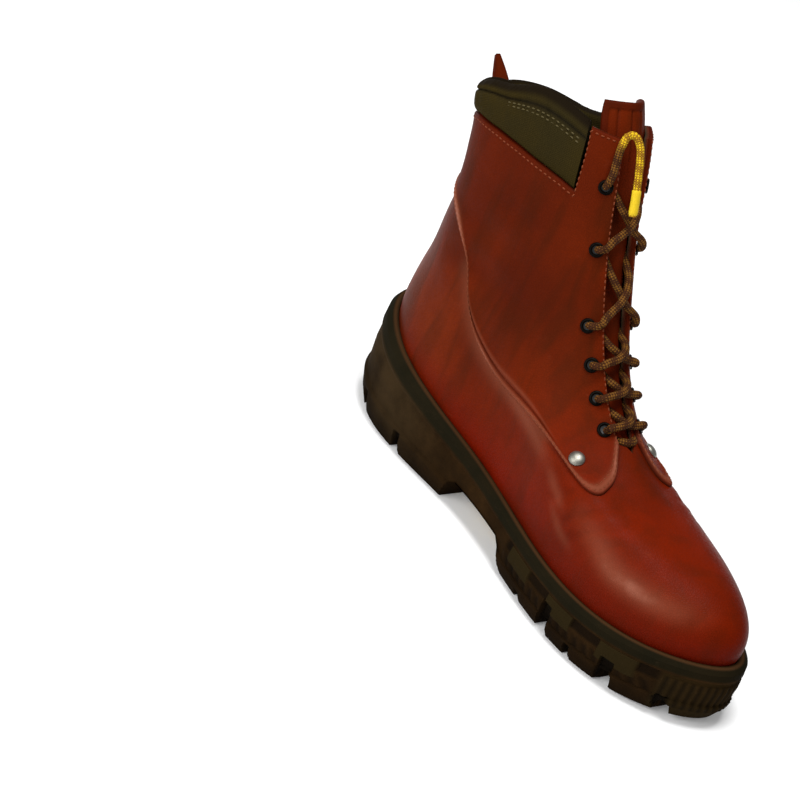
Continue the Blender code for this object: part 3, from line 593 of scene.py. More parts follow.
def make_piece(name, body, finish, marks=None, replaces=(), sharp=None, uv=None, outward=False):
    """Object of one mesh from points in millimetres and faces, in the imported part's frame, riding on the
    shoe. A face that names a point twice is a triangle."""
    points, faces = body
    corners = [tuple(dict.fromkeys(face)) for face in faces.tolist()]
    mesh = bpy.data.meshes.new(name)
    mesh.from_pydata(((points + SHIFT) * MM).tolist(), [], corners)
    for key, values in (marks or {}).items():
        layer = mesh.attributes.new(key, "FLOAT", "POINT")
        layer.data.foreach_set("value", np.asarray(values, np.float32).ravel())
    if uv is not None:
        mesh.uv_layers.new(name="run").data.foreach_set("uv", np.asarray(uv, np.float32).ravel())
    shape = bmesh.new()
    shape.from_mesh(mesh)
    bmesh.ops.remove_doubles(shape, verts=shape.verts, dist=2e-6)
    bmesh.ops.dissolve_degenerate(shape, edges=shape.edges, dist=1e-6)
    if outward:
        bmesh.ops.recalc_face_normals(shape, faces=shape.faces)
    shape.to_mesh(mesh)
    shape.free()
    mesh.shade_smooth()
    if sharp:
        mesh.set_sharp_from_angle(angle=math.radians(sharp))
    mesh.materials.append(finish)
    piece = bpy.data.objects.new(name, mesh)
    bpy.context.scene.collection.objects.link(piece)
    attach(piece, "root")
    if replaces:
        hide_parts(*replaces)
    return piece


def tube(path, radius, sides=14):
    """Round cord along a path: rings square to it, all turned from one fixed direction, drawn in to a
    point at both ends. Also gives each face corner's turn and distance along."""
    along = unit(np.gradient(path, axis=0))
    across = unit(np.cross(along, (0.35, 0.2, 1.0)))
    angles = np.arange(sides)[:, None] * math.tau / sides
    ring = np.cos(angles) * across[:, None] + np.sin(angles) * np.cross(along, across)[:, None]
    body = path[:, None] + np.broadcast_to(radius, len(path))[:, None, None] * ring
    tips = path[[0, -1]][:, None] + np.zeros((1, sides, 1))
    points = np.concatenate([tips[:1], body, tips[1:]])
    run = np.pad(run_from_start(path), 1, "edge")
    turn = (np.arange(sides)[:, None] + (0, 1, 1, 0)) / sides
    height = np.stack([run[:-1], run[:-1], run[1:], run[1:]], axis=-1)[:, None]
    uv = np.stack(np.broadcast_arrays(turn, height), axis=-1)
    return points.reshape(-1, 3), quads(len(points), sides, wrap=True), uv.reshape(-1, 2)


# A stitch is a bead of three square rings between two tips: place along and size of each ring as share
# of the bead's half length, half width and height.
STITCH_RINGS = ((-0.66, 0.8), (0.0, 1.0), (0.66, 0.8))
STITCH_SIZE = (1.15, 0.425, 0.45)
STITCH_BEAD = np.array([
    (-1, 0, -0.6),
    *[(s, w * c, w * d) for s, w in STITCH_RINGS for c, d in ((1, 0), (0, 1), (-1, 0), (0, -1))],
    (1, 0, -0.6),
]) * STITCH_SIZE


def stitches(around, level, offset, pitch, folded=True):
    """Row of stitches along a line on the shoe: beads at equal distances, half sunk in the leather."""
    line = on_shoe(around, level, offset, folded)
    run = run_from_start(line)
    count = max(2, int(run[-1] / pitch))
    at = (np.arange(count) + 0.5) * run[-1] / count
    up = read_along(last_normal(around, level), run, at)
    along = unit(read_along(line, run, at + 0.6) - read_along(line, run, at - 0.6))
    axes = np.stack([along, np.cross(up, along), up], axis=1)
    points = read_along(line, run, at)[:, None] + STITCH_BEAD @ axes
    turn = np.arange(4)
    onward = (turn + 1) % 4
    belts = [np.column_stack([k + turn, k + onward, k + 4 + onward, k + 4 + turn]) for k in (1, 5)]
    first = np.column_stack([turn * 0, 1 + onward, 1 + turn, 1 + turn])
    last = np.column_stack([turn * 0 + 13, 9 + turn, 9 + onward, 9 + onward])
    faces = np.concatenate([first, *belts, last])
    starts = len(STITCH_BEAD) * np.arange(count)[:, None, None]
    return points.reshape(-1, 3), (faces + starts).reshape(-1, 4)


class Nodes:
    """Shader node tree being built."""

    def __init__(self, tree):
        self.tree = tree

    def put(self, made, inputs):
        """Sets a node's inputs to values or links them to sockets."""
        for key, value in inputs.items():
            socket = made.inputs[key]
            if isinstance(value, bpy.types.NodeSocket):
                self.tree.links.new(value, socket)
            elif socket.type == "RGBA":
                socket.default_value = (*value, 1.0)
            else:
                socket.default_value = value

    def node(self, kind, inputs, **settings):
        """Shader node of a kind, with its settings and inputs."""
        made = self.tree.nodes.new("ShaderNode" + kind)
        for key, value in settings.items():
            setattr(made, key, value)
        self.put(made, inputs)
        return made

    def maths(self, operation, first, second=0.0, clamp=False):
        """Result of one sum on values or sockets."""
        return self.node("Math", {0: first, 1: second}, operation=operation, use_clamp=clamp).outputs[0]

    def times(self, first, second):
        """Product of two values."""
        return self.maths("MULTIPLY", first, second)

    def plus(self, first, second):
        """Sum of two values."""
        return self.maths("ADD", first, second)

    def minus(self, first, second):
        """Difference of two values."""
        return self.maths("SUBTRACT", first, second)

    def ramp(self, value, low, high):
        """Value spread smoothly from 0 at low to 1 at high."""
        return self.node("MapRange", {"Value": value, "From Min": low, "From Max": high},
                         interpolation_type="SMOOTHSTEP").outputs[0]

    def mixed(self, share, first, second):
        """Colour between two, by a share."""
        return self.node("Mix", {0: share, 6: first, 7: second}, data_type="RGBA").outputs[2]

    def noise(self, vector, scale, detail, **more):
        """Noise of a scale and detail."""
        inputs = {"Vector": vector, "Scale": scale, "Detail": detail, **more}
        return self.node("TexNoise", inputs).outputs["Fac"]

    def axes(self, vector):
        """The three parts of a vector."""
        return self.node("SeparateXYZ", {"Vector": vector}).outputs

    def stretched(self, vector, *scale):
        """Vector scaled along its three axes."""
        return self.node("Mapping", {"Vector": vector, "Scale": scale}).outputs[0]


class Effect(Nodes):
    """Shared node group: a vector and a scale go in, values come out."""

    def __init__(self, name, outputs):
        super().__init__(bpy.data.node_groups.new(name, "ShaderNodeTree"))
        sockets = [("Vector", "INPUT", "NodeSocketVector"), ("Scale", "INPUT", "NodeSocketFloat")]
        sockets += [(key, "OUTPUT", "NodeSocketFloat") for key in outputs]
        for key, way, kind in sockets:
            self.tree.interface.new_socket(key, in_out=way, socket_type=kind)
        self.where, self.scale = self.tree.nodes.new("NodeGroupInput").outputs[:2]

    def done(self, **outputs):
        """The finished group, with its outputs linked."""
        self.put(self.tree.nodes.new("NodeGroupOutput"), outputs)
        return self.tree


def grain_group(name):
    """Leather grain: small cells with pores between them and fine lines over them."""
    group = Effect(name, ("Height", "Pores"))
    cells = group.node("TexVoronoi", {"Vector": group.where, "Scale": group.scale},
                       feature="DISTANCE_TO_EDGE")
    fine = group.noise(group.where, group.times(group.scale, 0.35), 4.0)
    edge = group.ramp(cells.outputs["Distance"], 0.0, 0.22)
    return group.done(Height=group.plus(edge, group.times(fine, 0.9)), Pores=group.minus(1.0, edge))


def patches_group(name):
    """Uneven patches: slow noise for tone, streaked noise for scuffs, and upright streaks of dye."""
    group = Effect(name, ("Tone", "Scuff", "Streak"))
    slow = group.noise(group.where, group.scale, 5.0, Roughness=0.62)
    scuff = group.noise(group.stretched(group.where, 0.5, 1.0, 1.9), group.times(group.scale, 6.0), 8.0,
                        Roughness=0.7, Distortion=0.8)
    dye = group.noise(group.stretched(group.where, 1.0, 1.0, 0.18), group.times(group.scale, 4.5), 3.0,
                      Roughness=0.5, Distortion=0.6)
    return group.done(Tone=group.ramp(slow, 0.32, 0.68), Scuff=group.ramp(scuff, 0.6, 0.78),
                      Streak=group.ramp(dye, 0.4, 0.72))


def weave_group(name):
    """Plain weave: two crossed sine waves, one times the other."""
    group = Effect(name, ("Height",))
    x, y, z = group.axes(group.where)
    pace = group.times(group.scale, math.tau)
    first, second = (group.maths("SINE", group.times(way, pace)) for way in (group.plus(x, y), z))
    return group.done(Height=group.times(first, second))


EFFECTS = {"leather_grain": grain_group, "patches": patches_group, "weave": weave_group}


class Finish(Nodes):
    """Material being built: where is its Object coordinates, base its colour so far."""

    def __init__(self, name, base):
        self.material = bpy.data.materials.new(name)
        self.material.use_nodes = True
        super().__init__(self.material.node_tree)
        self.shader = self.tree.nodes["Principled BSDF"]
        self.where = self.node("TexCoord", {}).outputs["Object"]
        self.base = base

    def effect(self, name, scale):
        """Outputs of a shared effect at a scale per metre, which is made the first time it is asked for."""
        shared = bpy.data.node_groups.get(name) or EFFECTS[name](name)
        return self.node("Group", {"Vector": self.where, "Scale": scale}, node_tree=shared).outputs

    def mark(self, name):
        """Value of one of the piece's own attributes."""
        return self.node("Attribute", {}, attribute_name=name).outputs["Fac"]

    def lay(self, *coats):
        """Lays colours over the base, one after the other: each a mask, its strength and the colour."""
        for mask, strength, tone in coats:
            self.base = self.mixed(self.times(mask, strength), self.base, tone)

    def done(self, roughness, gloss=0.5, bump=None):
        """The finished material, with a bump given as height, distance in metres and strength."""
        self.put(self.shader, {"Base Color": self.base, "Roughness": roughness, "Specular IOR Level": gloss})
        if bump:
            made = self.node("Bump", dict(zip(("Height", "Distance", "Strength"), bump)))
            self.put(self.shader, {"Normal": made.outputs[0]})
        return self.material


def leather_finish(name, roughness=0.42, gloss=0.015):
    """Smooth oiled leather: red-brown, redder to the toe and along the sole and more orange round the heel,
    darker in pores and cut edges, with painted shade in folds and hollows, painted highlights on seam and
    toe."""
    paint = colours()
    finish = Finish(name, paint.leather)
    skin, worn = finish.effect("leather_grain", 780.0), finish.effect("patches", 16.0)
    x, _, z = finish.axes(finish.where)
    toe = finish.ramp(finish.minus(finish.times(x, 0.5), z), -0.12, -0.02)
    heel = finish.times(finish.ramp(x, -0.045, -0.105), finish.ramp(z, 0.125, 0.075))
    dye = finish.times(worn["Streak"], finish.minus(0.5, finish.times(toe, 0.25)))
    lit_band, inside = finish.mark("ridge"), finish.mark("inside")
    fleck = finish.ramp(finish.times(lit_band, worn["Tone"]), 0.3, 1.0)
    finish.lay(
        (toe, 1.0, paint.leather_toe),
        (heel, 1.0, paint.leather_heel),
        (finish.mark("low"), 0.65, paint.leather_low),
        (worn["Tone"], 0.45, paint.leather_dark_and_shade),
        (dye, 1.0, paint.leather_dye),
        (skin["Pores"], 0.2, paint.leather_dark_and_shade),
        (worn["Scuff"], 0.2, paint.leather_scuff),
        # Painted shade in creases, hollows and the shaded patches.
        (finish.mark("painted_shade"), 0.35, paint.leather_dark_and_shade),
        # Painted highlights along the seam and toe, with paler flecks on them.
        (lit_band, 0.7, paint.leather_seam_highlight),
        (fleck, 0.55, paint.leather_highlight_fleck),
        # Darker cut edges, and on the quarters painted shade in the hollow above the seam.
        (finish.mark("edge"), 0.8, paint.leather_dark_and_shade),
        (inside, 1.0, paint.lining),
    )
    uneven = finish.plus(finish.times(worn["Scuff"], 0.2), finish.times(worn["Tone"], 0.08))
    rough = finish.maths("ADD", finish.plus(roughness, uneven), finish.times(inside, 0.4), clamp=True)
    return finish.done(rough, gloss, (skin["Height"], 0.00006, 0.8))


def collar_finish():
    """Padded synthetic: olive grey with a fine weave, painted shade on the rolled top edge and in the
    channel.
    """
    paint = colours()
    finish = Finish("collar_olive", paint.collar)
    cloth, worn = finish.effect("weave", 620.0)["Height"], finish.effect("patches", 26.0)
    finish.lay(
        (worn["Tone"], 0.6, paint.collar_worn),
        (finish.ramp(cloth, 0.9, -0.3), 0.3, paint.collar_gap),
        # Painted shade on the rolled top edge and in the sewn channel.
        (finish.mark("roll"), 1.0, paint.collar_roll_shade),
        (finish.mark("painted_shade"), 0.7, paint.collar_channel_shade),
    )
    return finish.done(0.7, 0.006, (cloth, 0.00012, 0.7))


def sole_finish():
    """Dark moulded rubber: brown on the cleats, greyer on the heel, olive on the flat blocks, greener on the
    band, tan along the rim with edge wear and a painted highlight, painted shade in the grooves, black
    towards the tread."""
    paint = colours()
    finish = Finish("sole_rubber_dark", paint.sole)
    worn = finish.effect("patches", 34.0)
    x, _, z = finish.axes(finish.where)
    finish.lay(
        (finish.ramp(x, -0.03, -0.09), 0.6, paint.sole_heel),
        (worn["Tone"], 0.75, paint.sole_worn),
        (finish.ramp(z, 0.024, 0.002), 0.7, paint.sole_low),
        (finish.mark("band"), 0.8, paint.sole_band),
        (finish.mark("block"), 0.85, paint.sole_block),
        (worn["Scuff"], 0.3, paint.sole_scuff),
        # Painted shade in the grooves and slots.
        (finish.mark("groove"), 0.85, paint.sole_groove_shade),
        # Edge wear and a painted highlight along the rim.
        (finish.mark("rim"), 0.4, paint.sole_rim_wear_and_highlight),
    )
    rough = finish.plus(0.7, finish.times(worn["Scuff"], 0.2))
    return finish.done(rough, 0.006, (finish.noise(finish.where, 1500.0, 3.0), 0.00012, 0.6))


def lace_finish(name, ground, fleck_colour, muted=0.0):
    """Round braid: strands of one colour crossed by another's, by turn and distance along the cord, in the
    plain lace's dull tones over the muted length from its start."""
    paint = colours()
    finish = Finish(name, ground)
    turn, along, _ = finish.axes(finish.node("UVMap", {}, uv_map="run").outputs[0])

    def wave(turns, pitch):
        """Sine wave that goes round the cord a number of times and repeats at a pitch along it."""
        onward = finish.times(along, math.tau / pitch)
        return finish.maths("SINE", finish.plus(finish.times(turn, turns * math.tau), onward))

    strands = finish.times(wave(4, BRAID_PITCH), wave(4, -BRAID_PITCH))
    ridges = finish.maths("ABSOLUTE", strands)
    fleck = finish.ramp(finish.plus(strands, finish.times(wave(1, FLECK_PITCH), 0.6)), 0.1, 0.5)
    finish.lay((fleck, 1.0, fleck_colour))
    if muted:
        dull = finish.mixed(fleck, paint.lace, paint.lace_fleck)
        finish.lay((finish.ramp(along, 1.15 * muted, 0.85 * muted), 1.0, dull))
    finish.lay((finish.ramp(ridges, 0.16, 0.0), 1.0, paint.lace_gap))
    return finish.done(0.8, 0.1, (ridges, 0.00035, 0.8))


def thread_finish(name, tone):
    """Waxed thread with a slight twist."""
    finish = Finish(name, [0.6 * value for value in tone])
    finish.lay((finish.noise(finish.where, 2600.0, 2.0), 1.0, tone))
    return finish.done(0.6, 0.1)


def metal_finish(name, tone, stain, roughness):
    """Pressed metal: dull and stained in patches, and black with painted shade on the disc in an eyelet's
    hole.
    """
    finish = Finish(name, tone)
    worn, hole = finish.effect("patches", 160.0), finish.mark("hole")
    finish.lay((worn["Tone"], 0.6, stain), (hole, 1.0, colours().hole))
    finish.put(finish.shader, {"Metallic": finish.minus(1.0, hole)})
    return finish.done(finish.plus(roughness, finish.times(worn["Scuff"], 0.3)))


def felt_finish():
    """Pressed felt of the insole: brown with fibres."""
    paint = colours()
    finish = Finish("insole_brown_felt", paint.insole)
    cloth = finish.noise(finish.where, 900.0, 6.0, Roughness=0.8)
    worn = finish.effect("patches", 18.0)
    finish.lay((cloth, 1.0, paint.insole_fibre), (worn["Tone"], 0.5, paint.insole_worn))
    return finish.done(0.92, bump=(cloth, 0.0003, 0.8))


def label_finish():
    """Plain yellow moulded plastic, scuffed."""
    paint = colours()
    finish = Finish("label_yellow", paint.label)
    worn = finish.effect("patches", 40.0)
    finish.lay((worn["Tone"], 0.3, paint.label_worn), (worn["Scuff"], 0.5, paint.label_scuff))
    return finish.done(0.45)


def floor_finish():
    """Pale floor, a little uneven, with a glow of its own that keeps it white."""
    finish = Finish("floor_pale", (0.86, 0.86, 0.86))
    finish.lay((finish.noise(finish.where, 3.0, 2.0), 1.0, (0.9, 0.9, 0.9)))
    finish.put(finish.shader, {"Emission Color": (1.0, 1.0, 1.0), "Emission Strength": 0.15})
    return finish.done(0.9)


# Middle of the shoe that the view turns about, and where it falls in the picture, in metres from the
# picture's middle to the right and down at the shoe's distance.
VIEW_MIDDLE = np.array([0.0, 0.0, 0.09])
VIEW_PLACE = (0.0988, 0.00035)
LOWEST_LIGHT = 0.25
# Half the floor's width, and how far it lies below the sole.
FLOOR_HALF, FLOOR_DROP = 6.0, 0.0002


def view_axes(view):
    """Directions of the picture: right, up, and from the shoe to the camera."""
    toward = np.array([
        math.sin(view.yaw) * math.cos(view.elevation), -math.cos(view.yaw) * math.cos(view.elevation),
        math.sin(view.elevation),
    ])
    level = unit(np.cross((0.0, 0.0, 1.0), toward))
    right = math.cos(view.roll) * level + math.sin(view.roll) * np.cross(toward, level)
    return right, np.cross(toward, right), toward


class SHOE_OT_stage(bpy.types.Operator):
    """Camera, soft studio light and pale floor"""

    bl_idname = "shoe.stage"
    bl_label = "Stage"

    def execute(self, context):
        scene, view = context.scene, context.scene.shoe_view
        right, up, toward = view_axes(view)
        place = VIEW_MIDDLE + view.distance * toward
        back = unit(place - VIEW_MIDDLE + VIEW_PLACE[0] * right - VIEW_PLACE[1] * up)
        side = unit(right - (right @ back) * back)
        lens = bpy.data.cameras.new("camera")
        lens.lens = view.lens
        lens.sensor_width = 36.0
        lens.clip_end = 50.0
        camera = bpy.data.objects.new("camera", lens)
        turn = Matrix((side, np.cross(back, side), back)).transposed()
        camera.matrix_world = Matrix.Translation(place) @ turn.to_4x4()
        scene.collection.objects.link(camera)
        scene.camera = camera

        for name, spot, power, width in (
            ("overhead_light", np.array([0.05, -0.2, 1.6]), 24.0, 0.7),
            ("front_light", 1.6 * toward + 0.7 * up - 0.9 * right, 26.0, 1.4),
            ("back_light", -1.4 * toward + 1.7 * up - 0.9 * right, 16.0, 1.4),
        ):
            light = bpy.data.lights.new(name, "AREA")
            light.energy = power
            light.shape = "DISK"
            light.size = width
            lamp = bpy.data.objects.new(name, light)
            lamp.location = VIEW_MIDDLE + spot
            lamp.location.z = max(lamp.location.z, LOWEST_LIGHT)
            lamp.rotation_euler = (Vector(VIEW_MIDDLE) - lamp.location).to_track_quat("-Z", "Y").to_euler()
            scene.collection.objects.link(lamp)

        scene.world = bpy.data.worlds.new("studio")
        scene.world.use_nodes = True
        sky = scene.world.node_tree.nodes["Background"]
        sky.inputs["Color"].default_value = (1.0, 1.0, 1.0, 1.0)
        sky.inputs["Strength"].default_value = 0.32
        scene.view_settings.view_transform = "Standard"

        mesh = bpy.data.meshes.new("floor")
        corners = [(-FLOOR_HALF, -FLOOR_HALF), (FLOOR_HALF, -FLOOR_HALF), (FLOOR_HALF, FLOOR_HALF),
                   (-FLOOR_HALF, FLOOR_HALF)]
        mesh.from_pydata([(*corner, -FLOOR_DROP) for corner in corners], [], [(0, 1, 2, 3)])
        mesh.materials.append(floor_finish())
        floor = bpy.data.objects.new("floor", mesh)
        scene.collection.objects.link(floor)
        return {"FINISHED"}


def lace_run(rising, number):
    """Path of one lace crossing: out of an eyelet, over its facing's edge, across the tongue above or
    below the other crossing, and down under the far facing beside the next eyelet up."""
    (start, low), (end, high) = EYELETS[number], EYELETS[number + 1]
    over = LACE_OVER if rising else LACE_UNDER
    # Share around, share of the way to the next eyelet, and offset.
    around, share, offset = np.array([
        (start, 0.0, -0.5), (start + 0.005, 0.02, 3.2), (0.458, 0.08, 5.2), (0.467, 0.2, 5.2),
        (0.482, 0.34, 2.9 + over), (0.5, 0.5, 2.1 + over), (0.519, 0.68, 0.9 + 0.5 * over),
        (0.532, 0.83, -1.6), (0.544, 0.96, -4.2), (1 - end + 0.001, 1.0, -4.6),
    ]).T
    foot, head = level_at(start, low), level_at(end, high)
    around = around if rising else 1 - around
    return even_path(on_shoe(around, foot + share * (head - foot), offset, folded=False), 34)


class SHOE_OT_laces(bpy.types.Operator):
    """Lace crossings through the eyelets, and the free end with its tip"""

    bl_idname = "shoe.laces"
    bl_label = "Laces"

    def execute(self, context):
        paint, radius = colours(), sizes().lace / MM / 2
        steps = range(len(EYELETS) - 1)
        runs = [tube(lace_run(rising, i), radius) for i in steps for rising in (True, False)]
        share = np.linspace(0, 1, 9)
        around = LACE_LOW_AROUND + share * (1 - 2 * LACE_LOW_AROUND)
        level = level_at(LACE_AROUND, EYELETS[0][1] - 1.5)
        lowest = on_shoe(around, level, 4.6 * np.sin(np.pi * share) - 4.2, folded=False)
        runs.append(tube(even_path(lowest, 24), radius))
        # The crossings take the lace's darker colours, partly dirt and partly painted shade.
        braid = lace_finish("lace_braid", paint.lace, paint.lace_fleck)
        make_piece("lace_crossings", joined(runs), braid, replaces=("laces",), sharp=80.0,
                   uv=np.concatenate([run[2] for run in runs]))

        around, height = EYELETS[-1]
        leaving = ((around, height, 1.2), (around + 0.003, height + 3.0, 4.2))
        around, height, offset = np.array(leaving + LACE_END).T
        path = even_path(on_shoe(around, level_at(around, height), offset, folded=False), 44)
        *body, uv = tube(path, radius)
        # The free end's paler, brighter colours are painted highlight, a lit copy of the lace's own.
        braid = lace_finish("lace_braid_end_lit", paint.lace_end, paint.lace_end_lit_fleck, muted=LACE_MUTED)
        end = make_piece("lace_free_end", body, braid, replaces=("lace_end",), sharp=80.0, uv=uv)
        sheath = radius * np.array([0.9, *[1.13] * 12, 1.05, 0.7])
        *body, uv = tube(even_path(path[-9:], len(sheath)), sheath, 18)
        finish = thread_finish("lace_tip_yellow", paint.lace_tip)
        tip = make_piece("lace_tip", body, finish, sharp=80.0, uv=uv)
        return {"FINISHED"}


def toe_rise(x):
    """Rise of the tread to the toe, as a square."""
    return TOE_SPRING * np.clip((x - FOREFOOT_END) / (TOE_TIP - FOREFOOT_END), 0, None) ** 2


def across(x, place, width, blur):
    """Mask of a groove across the foot: 1 inside, falling to 0 over the blur at its sides."""
    return np.clip((width / 2 + blur / 2 - np.abs(x - place)) / blur, 0, 1)


def tread(x, from_edge):
    """Underside of the sole: flat, rising as a square to the toe, with the arch, the cleats' grooves and
    fine ribs across. from_edge is the distance in from the tread's edge. Also gives how deep a groove is."""
    cut = np.zeros_like(x)
    inward = step(from_edge, GROOVE_EDGE_REACH - 1.0, GROOVE_EDGE_REACH + 1.0)
    for place, width, middle, edge, _ in GROOVES:
        cut = np.maximum(cut, across(x, place, width, 1.0) * (edge + (middle - edge) * inward))
    rib = 0.7 * step(np.cos(x * math.tau / 9.5), 0.62, 0.86) * step(from_edge, 6.0, 8.0)
    arch = np.where((x > ARCH[0][0]) & (x < ARCH[-1][0]), np.maximum(table_at(ARCH, x), 0.0), 0.0)
    return np.maximum(toe_rise(x) + np.maximum(cut, rib), arch), cut


def between(value, low, high, blur):
    """Mask of a range: 0 outside, 1 inside past the blur at both ends."""
    return step(value, low, low + blur) * step(-value, -high, -high + blur)


def side_relief(x, share, around, height):
    """Relief of the sole's side over its steps: flat blocks raised on the forefoot, saw teeth below and
    between them with a pocket under the band, upright ribs on the toe, and slots above the grooves.
    Also gives masks of the blocks and of the painted shade in the slots, the pocket and the low parts of ribs
    and teeth."""
    block, slot = np.zeros_like(x), np.zeros_like(x)
    for x0, x1, t0, t1 in SIDE_BLOCKS:
        block = np.maximum(block, between(x, x0, x1, 1.2) * between(share, t0, t1, 0.03))
    for place, width, _, _, top in GROOVES:
        slot = np.maximum(slot, across(x, place, width, 0.8) * step(-height, -top - 0.6, -top + 0.6))
    toe = step(-np.abs(around - FRONT), -0.058, -0.052)
    ribs = toe * between(share, 0.16, 0.72, 0.04)
    wave = 0.5 + 0.5 * np.cos((around - FRONT) * math.tau * 150)
    tooth = np.abs((x / 6.5 + 1.6 * share) % 1 - 0.5) * 2
    plain = step(x, 174.0, 178.0) * (1 - toe) * (1 - block)
    teeth = plain * step(share, 0.31, 0.33) * step(-share, -(0.5 + 0.1 * tooth), -(0.46 + 0.1 * tooth))
    pocket = plain * step(share, 0.56, 0.62) * step(-share, -0.77, -0.74)
    out = 1.1 * block + ribs * (0.3 + 0.7 * wave) + 0.9 * teeth * tooth - 0.6 * pocket - SLOT_DEPTH * slot
    # Painted shade in the slots, the pocket and the low parts of ribs and teeth.
    dark = np.maximum.reduce([slot, 0.8 * pocket, 0.7 * ribs * (1 - wave), 0.7 * teeth * (1 - tooth)])
    return out, np.maximum(block, 0.6 * toe * step(-share, -0.78, -0.74)), dark


class SHOE_OT_sole(bpy.types.Operator):
    """Cleated rubber sole with its side blocks, arch and rim"""

    bl_idname = "shoe.sole"
    bl_label = "Sole"

    def execute(self, context):
        columns = 640
        around = np.arange(columns) / columns
        rim, outward = last_surface(around, RIM_LEVEL), plan_outward(around)
        spans = ((0, 0.3, 15), (0.3, 0.72, 34), (0.72, 0.96, 16), (0.96, 1, 9))
        share = np.unique(np.concatenate([np.linspace(*span) for span in spans]))[:, None]
        depth, top, reach = HEEL_DRAW
        draw = depth * bell(from_back(around), reach) * np.clip(1 - share / top, 0, 1)
        offset = table_at(SOLE_SIDE, share) - draw
        x = (rim + offset[..., None] * outward)[..., 0]
        height = toe_rise(x) + share * (rim[:, 2] - toe_rise(x))
        more, block, dark = side_relief(x, share, around, height)
        side = rim + (offset + more)[..., None] * outward
        side[..., 2] = np.maximum(height, tread(x[0], np.zeros(columns))[0])
        cup = on_shoe(around, RIM_LEVEL * np.array([[0.99], [0.66], [0.33], [0.0]]), 0.3, folded=False)
        cup[-1, :, 2] -= 0.6
        wall = np.concatenate([side, cup])
        masks = {"band": step(share, *BAND_EDGE), "rim": step(share, *RIM_EDGE)}
        masks |= {"block": block, "groove": dark}
        for key, mask in masks.items():
            masks[key] = [np.broadcast_to(mask, x.shape).ravel(), np.zeros(cup[..., 0].size)]
        points, faces = [wall.reshape(-1, 3)], [quads(len(wall), columns, wrap=True)]
        half = columns // 2
        for ring, samples, underside in ((wall[0], 84, True), (wall[-1], 12, False)):
            near, far = ring[:half + 1], ring[-np.arange(half + 1)]
            over = np.linspace(0, 1, samples)[:, None, None]
            sheet = near + over * (far - near)
            deep = np.zeros(sheet.shape[:2])
            if underside:
                edge = np.minimum(over, 1 - over)[..., 0] * np.linalg.norm(far - near, axis=1)
                sheet[..., 2], cut = tread(sheet[..., 0], edge)
                # Painted shade in the tread's grooves, by their depth.
                deep = step(cut, 0.5, 3.0)
                sheet[0], sheet[-1] = near, far
            grid = quads(samples, half + 1, sum(map(len, points)))
            faces.append(grid if underside else grid[:, ::-1])
            points.append(sheet.reshape(-1, 3))
            for key, parts in masks.items():
                parts.append(deep.ravel() * (key == "groove"))
        marks = {key: np.concatenate(parts) for key, parts in masks.items()}
        make_piece("sole_rubber", (np.concatenate(points), np.concatenate(faces)), sole_finish(),
                   marks, replaces=("sole",), sharp=34.0)
        for name, finish in (("arch_label", label_finish()), ("insole", felt_finish())):
            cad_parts[name].data.materials.clear()
            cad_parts[name].data.materials.append(finish)
        return {"FINISHED"}


class SHOE_OT_upper(bpy.types.Operator):
    """Hollow leather upper with its creases and lining"""

    bl_idname = "shoe.upper"
    bl_label = "Upper"

    def execute(self, context):
        corners = np.array([NOTCH_AROUND, FACING_BACK_AROUND]) / FACING_AROUND
        stops = np.unique(np.concatenate([np.linspace(0, 1, 104), corners]))
        columns = np.concatenate([-stops[::-1], stops[1:]])
        low_rows, high_rows = 62, 56
        throat = float(level_at(FRONT, THROAT_HEIGHT))
        low_level = throat * np.linspace(0, 1, low_rows + 1)[:, None]
        high = np.linspace(0, 1, high_rows + 1)[1:, None]
        narrowing = np.minimum(1.0, high * 4.5) ** 0.5
        high_around = columns * (FRONT + (FACING_AROUND - FRONT) * narrowing)
        top = level_at(high_around, table_at(TOP_EDGE, from_back(high_around)))
        low_around, low_level = np.broadcast_arrays(columns * FRONT, low_level)
        around = np.concatenate([low_around, high_around])
        level = np.concatenate([low_level, throat + high * (top - throat)])
        base = last_surface(around, level)
        inner = on_shoe(around, level, -sizes().wall / MM, folded=False)
        seam = smooth_through(QUARTER, 60, *SIDE_SEAM)
        line = last_surface(seam[:, 0], level_at(seam[:, 0], seam[:, 1]))[:, ::2]
        apart, _ = to_line(base[..., 0], base[..., 2], line)
        pale, dark = painted_light_places(base)
        marks = {
            # Painted shade in the creases and the shaded patches.
            "painted_shade": np.maximum(np.clip(-relief(base) / 0.9, 0, 1), dark),
            # Painted highlight in a band along the quarter's seam, and on the highlight lines.
            "ridge": np.maximum(0.6 * bell(apart, 6.0), pale),
            "low": bell(level - RIM_LEVEL, 15.0) * (1 - pale),
        }
        marks = {key: both(values, 0.0) for key, values in marks.items()}
        marks["inside"] = both(np.zeros(around.shape), 1.0)
        make_piece("upper_leather", slab(on_shoe(around, level, 0.0), inner, closed_rows=low_rows),
                   leather_finish("leather_upper", 0.33, 0.02), marks,
                   replaces=("upper",), sharp=50.0)
        return {"FINISHED"}


def quarter_lines(side, columns=150, rows=72):
    """Lines of a quarter panel: across from its seam to the top edge, closer together at its borders."""
    places = np.linspace(0, len(QUARTER) - 1, columns)
    seam_around, seam_height, _ = smooth_through(QUARTER, columns, last=len(QUARTER) - 1).T
    top_around = np.interp(places, np.arange(len(QUARTER)), np.array(QUARTER)[:, 2])
    seam_level = level_at(seam_around, seam_height)
    top_level = level_at(top_around, table_at(TOP_EDGE, top_around))
    share = (0.5 - 0.5 * np.cos(np.linspace(0, np.pi, rows)))[:, None]
    around = seam_around + share * (top_around - seam_around)
    return around * side, seam_level + share * (top_level - seam_level), places


def sew(name, rows, finish_name, tone):
    """One piece of several rows of stitches."""
    make_piece(name, joined(rows), thread_finish(finish_name, tone), outward=True)


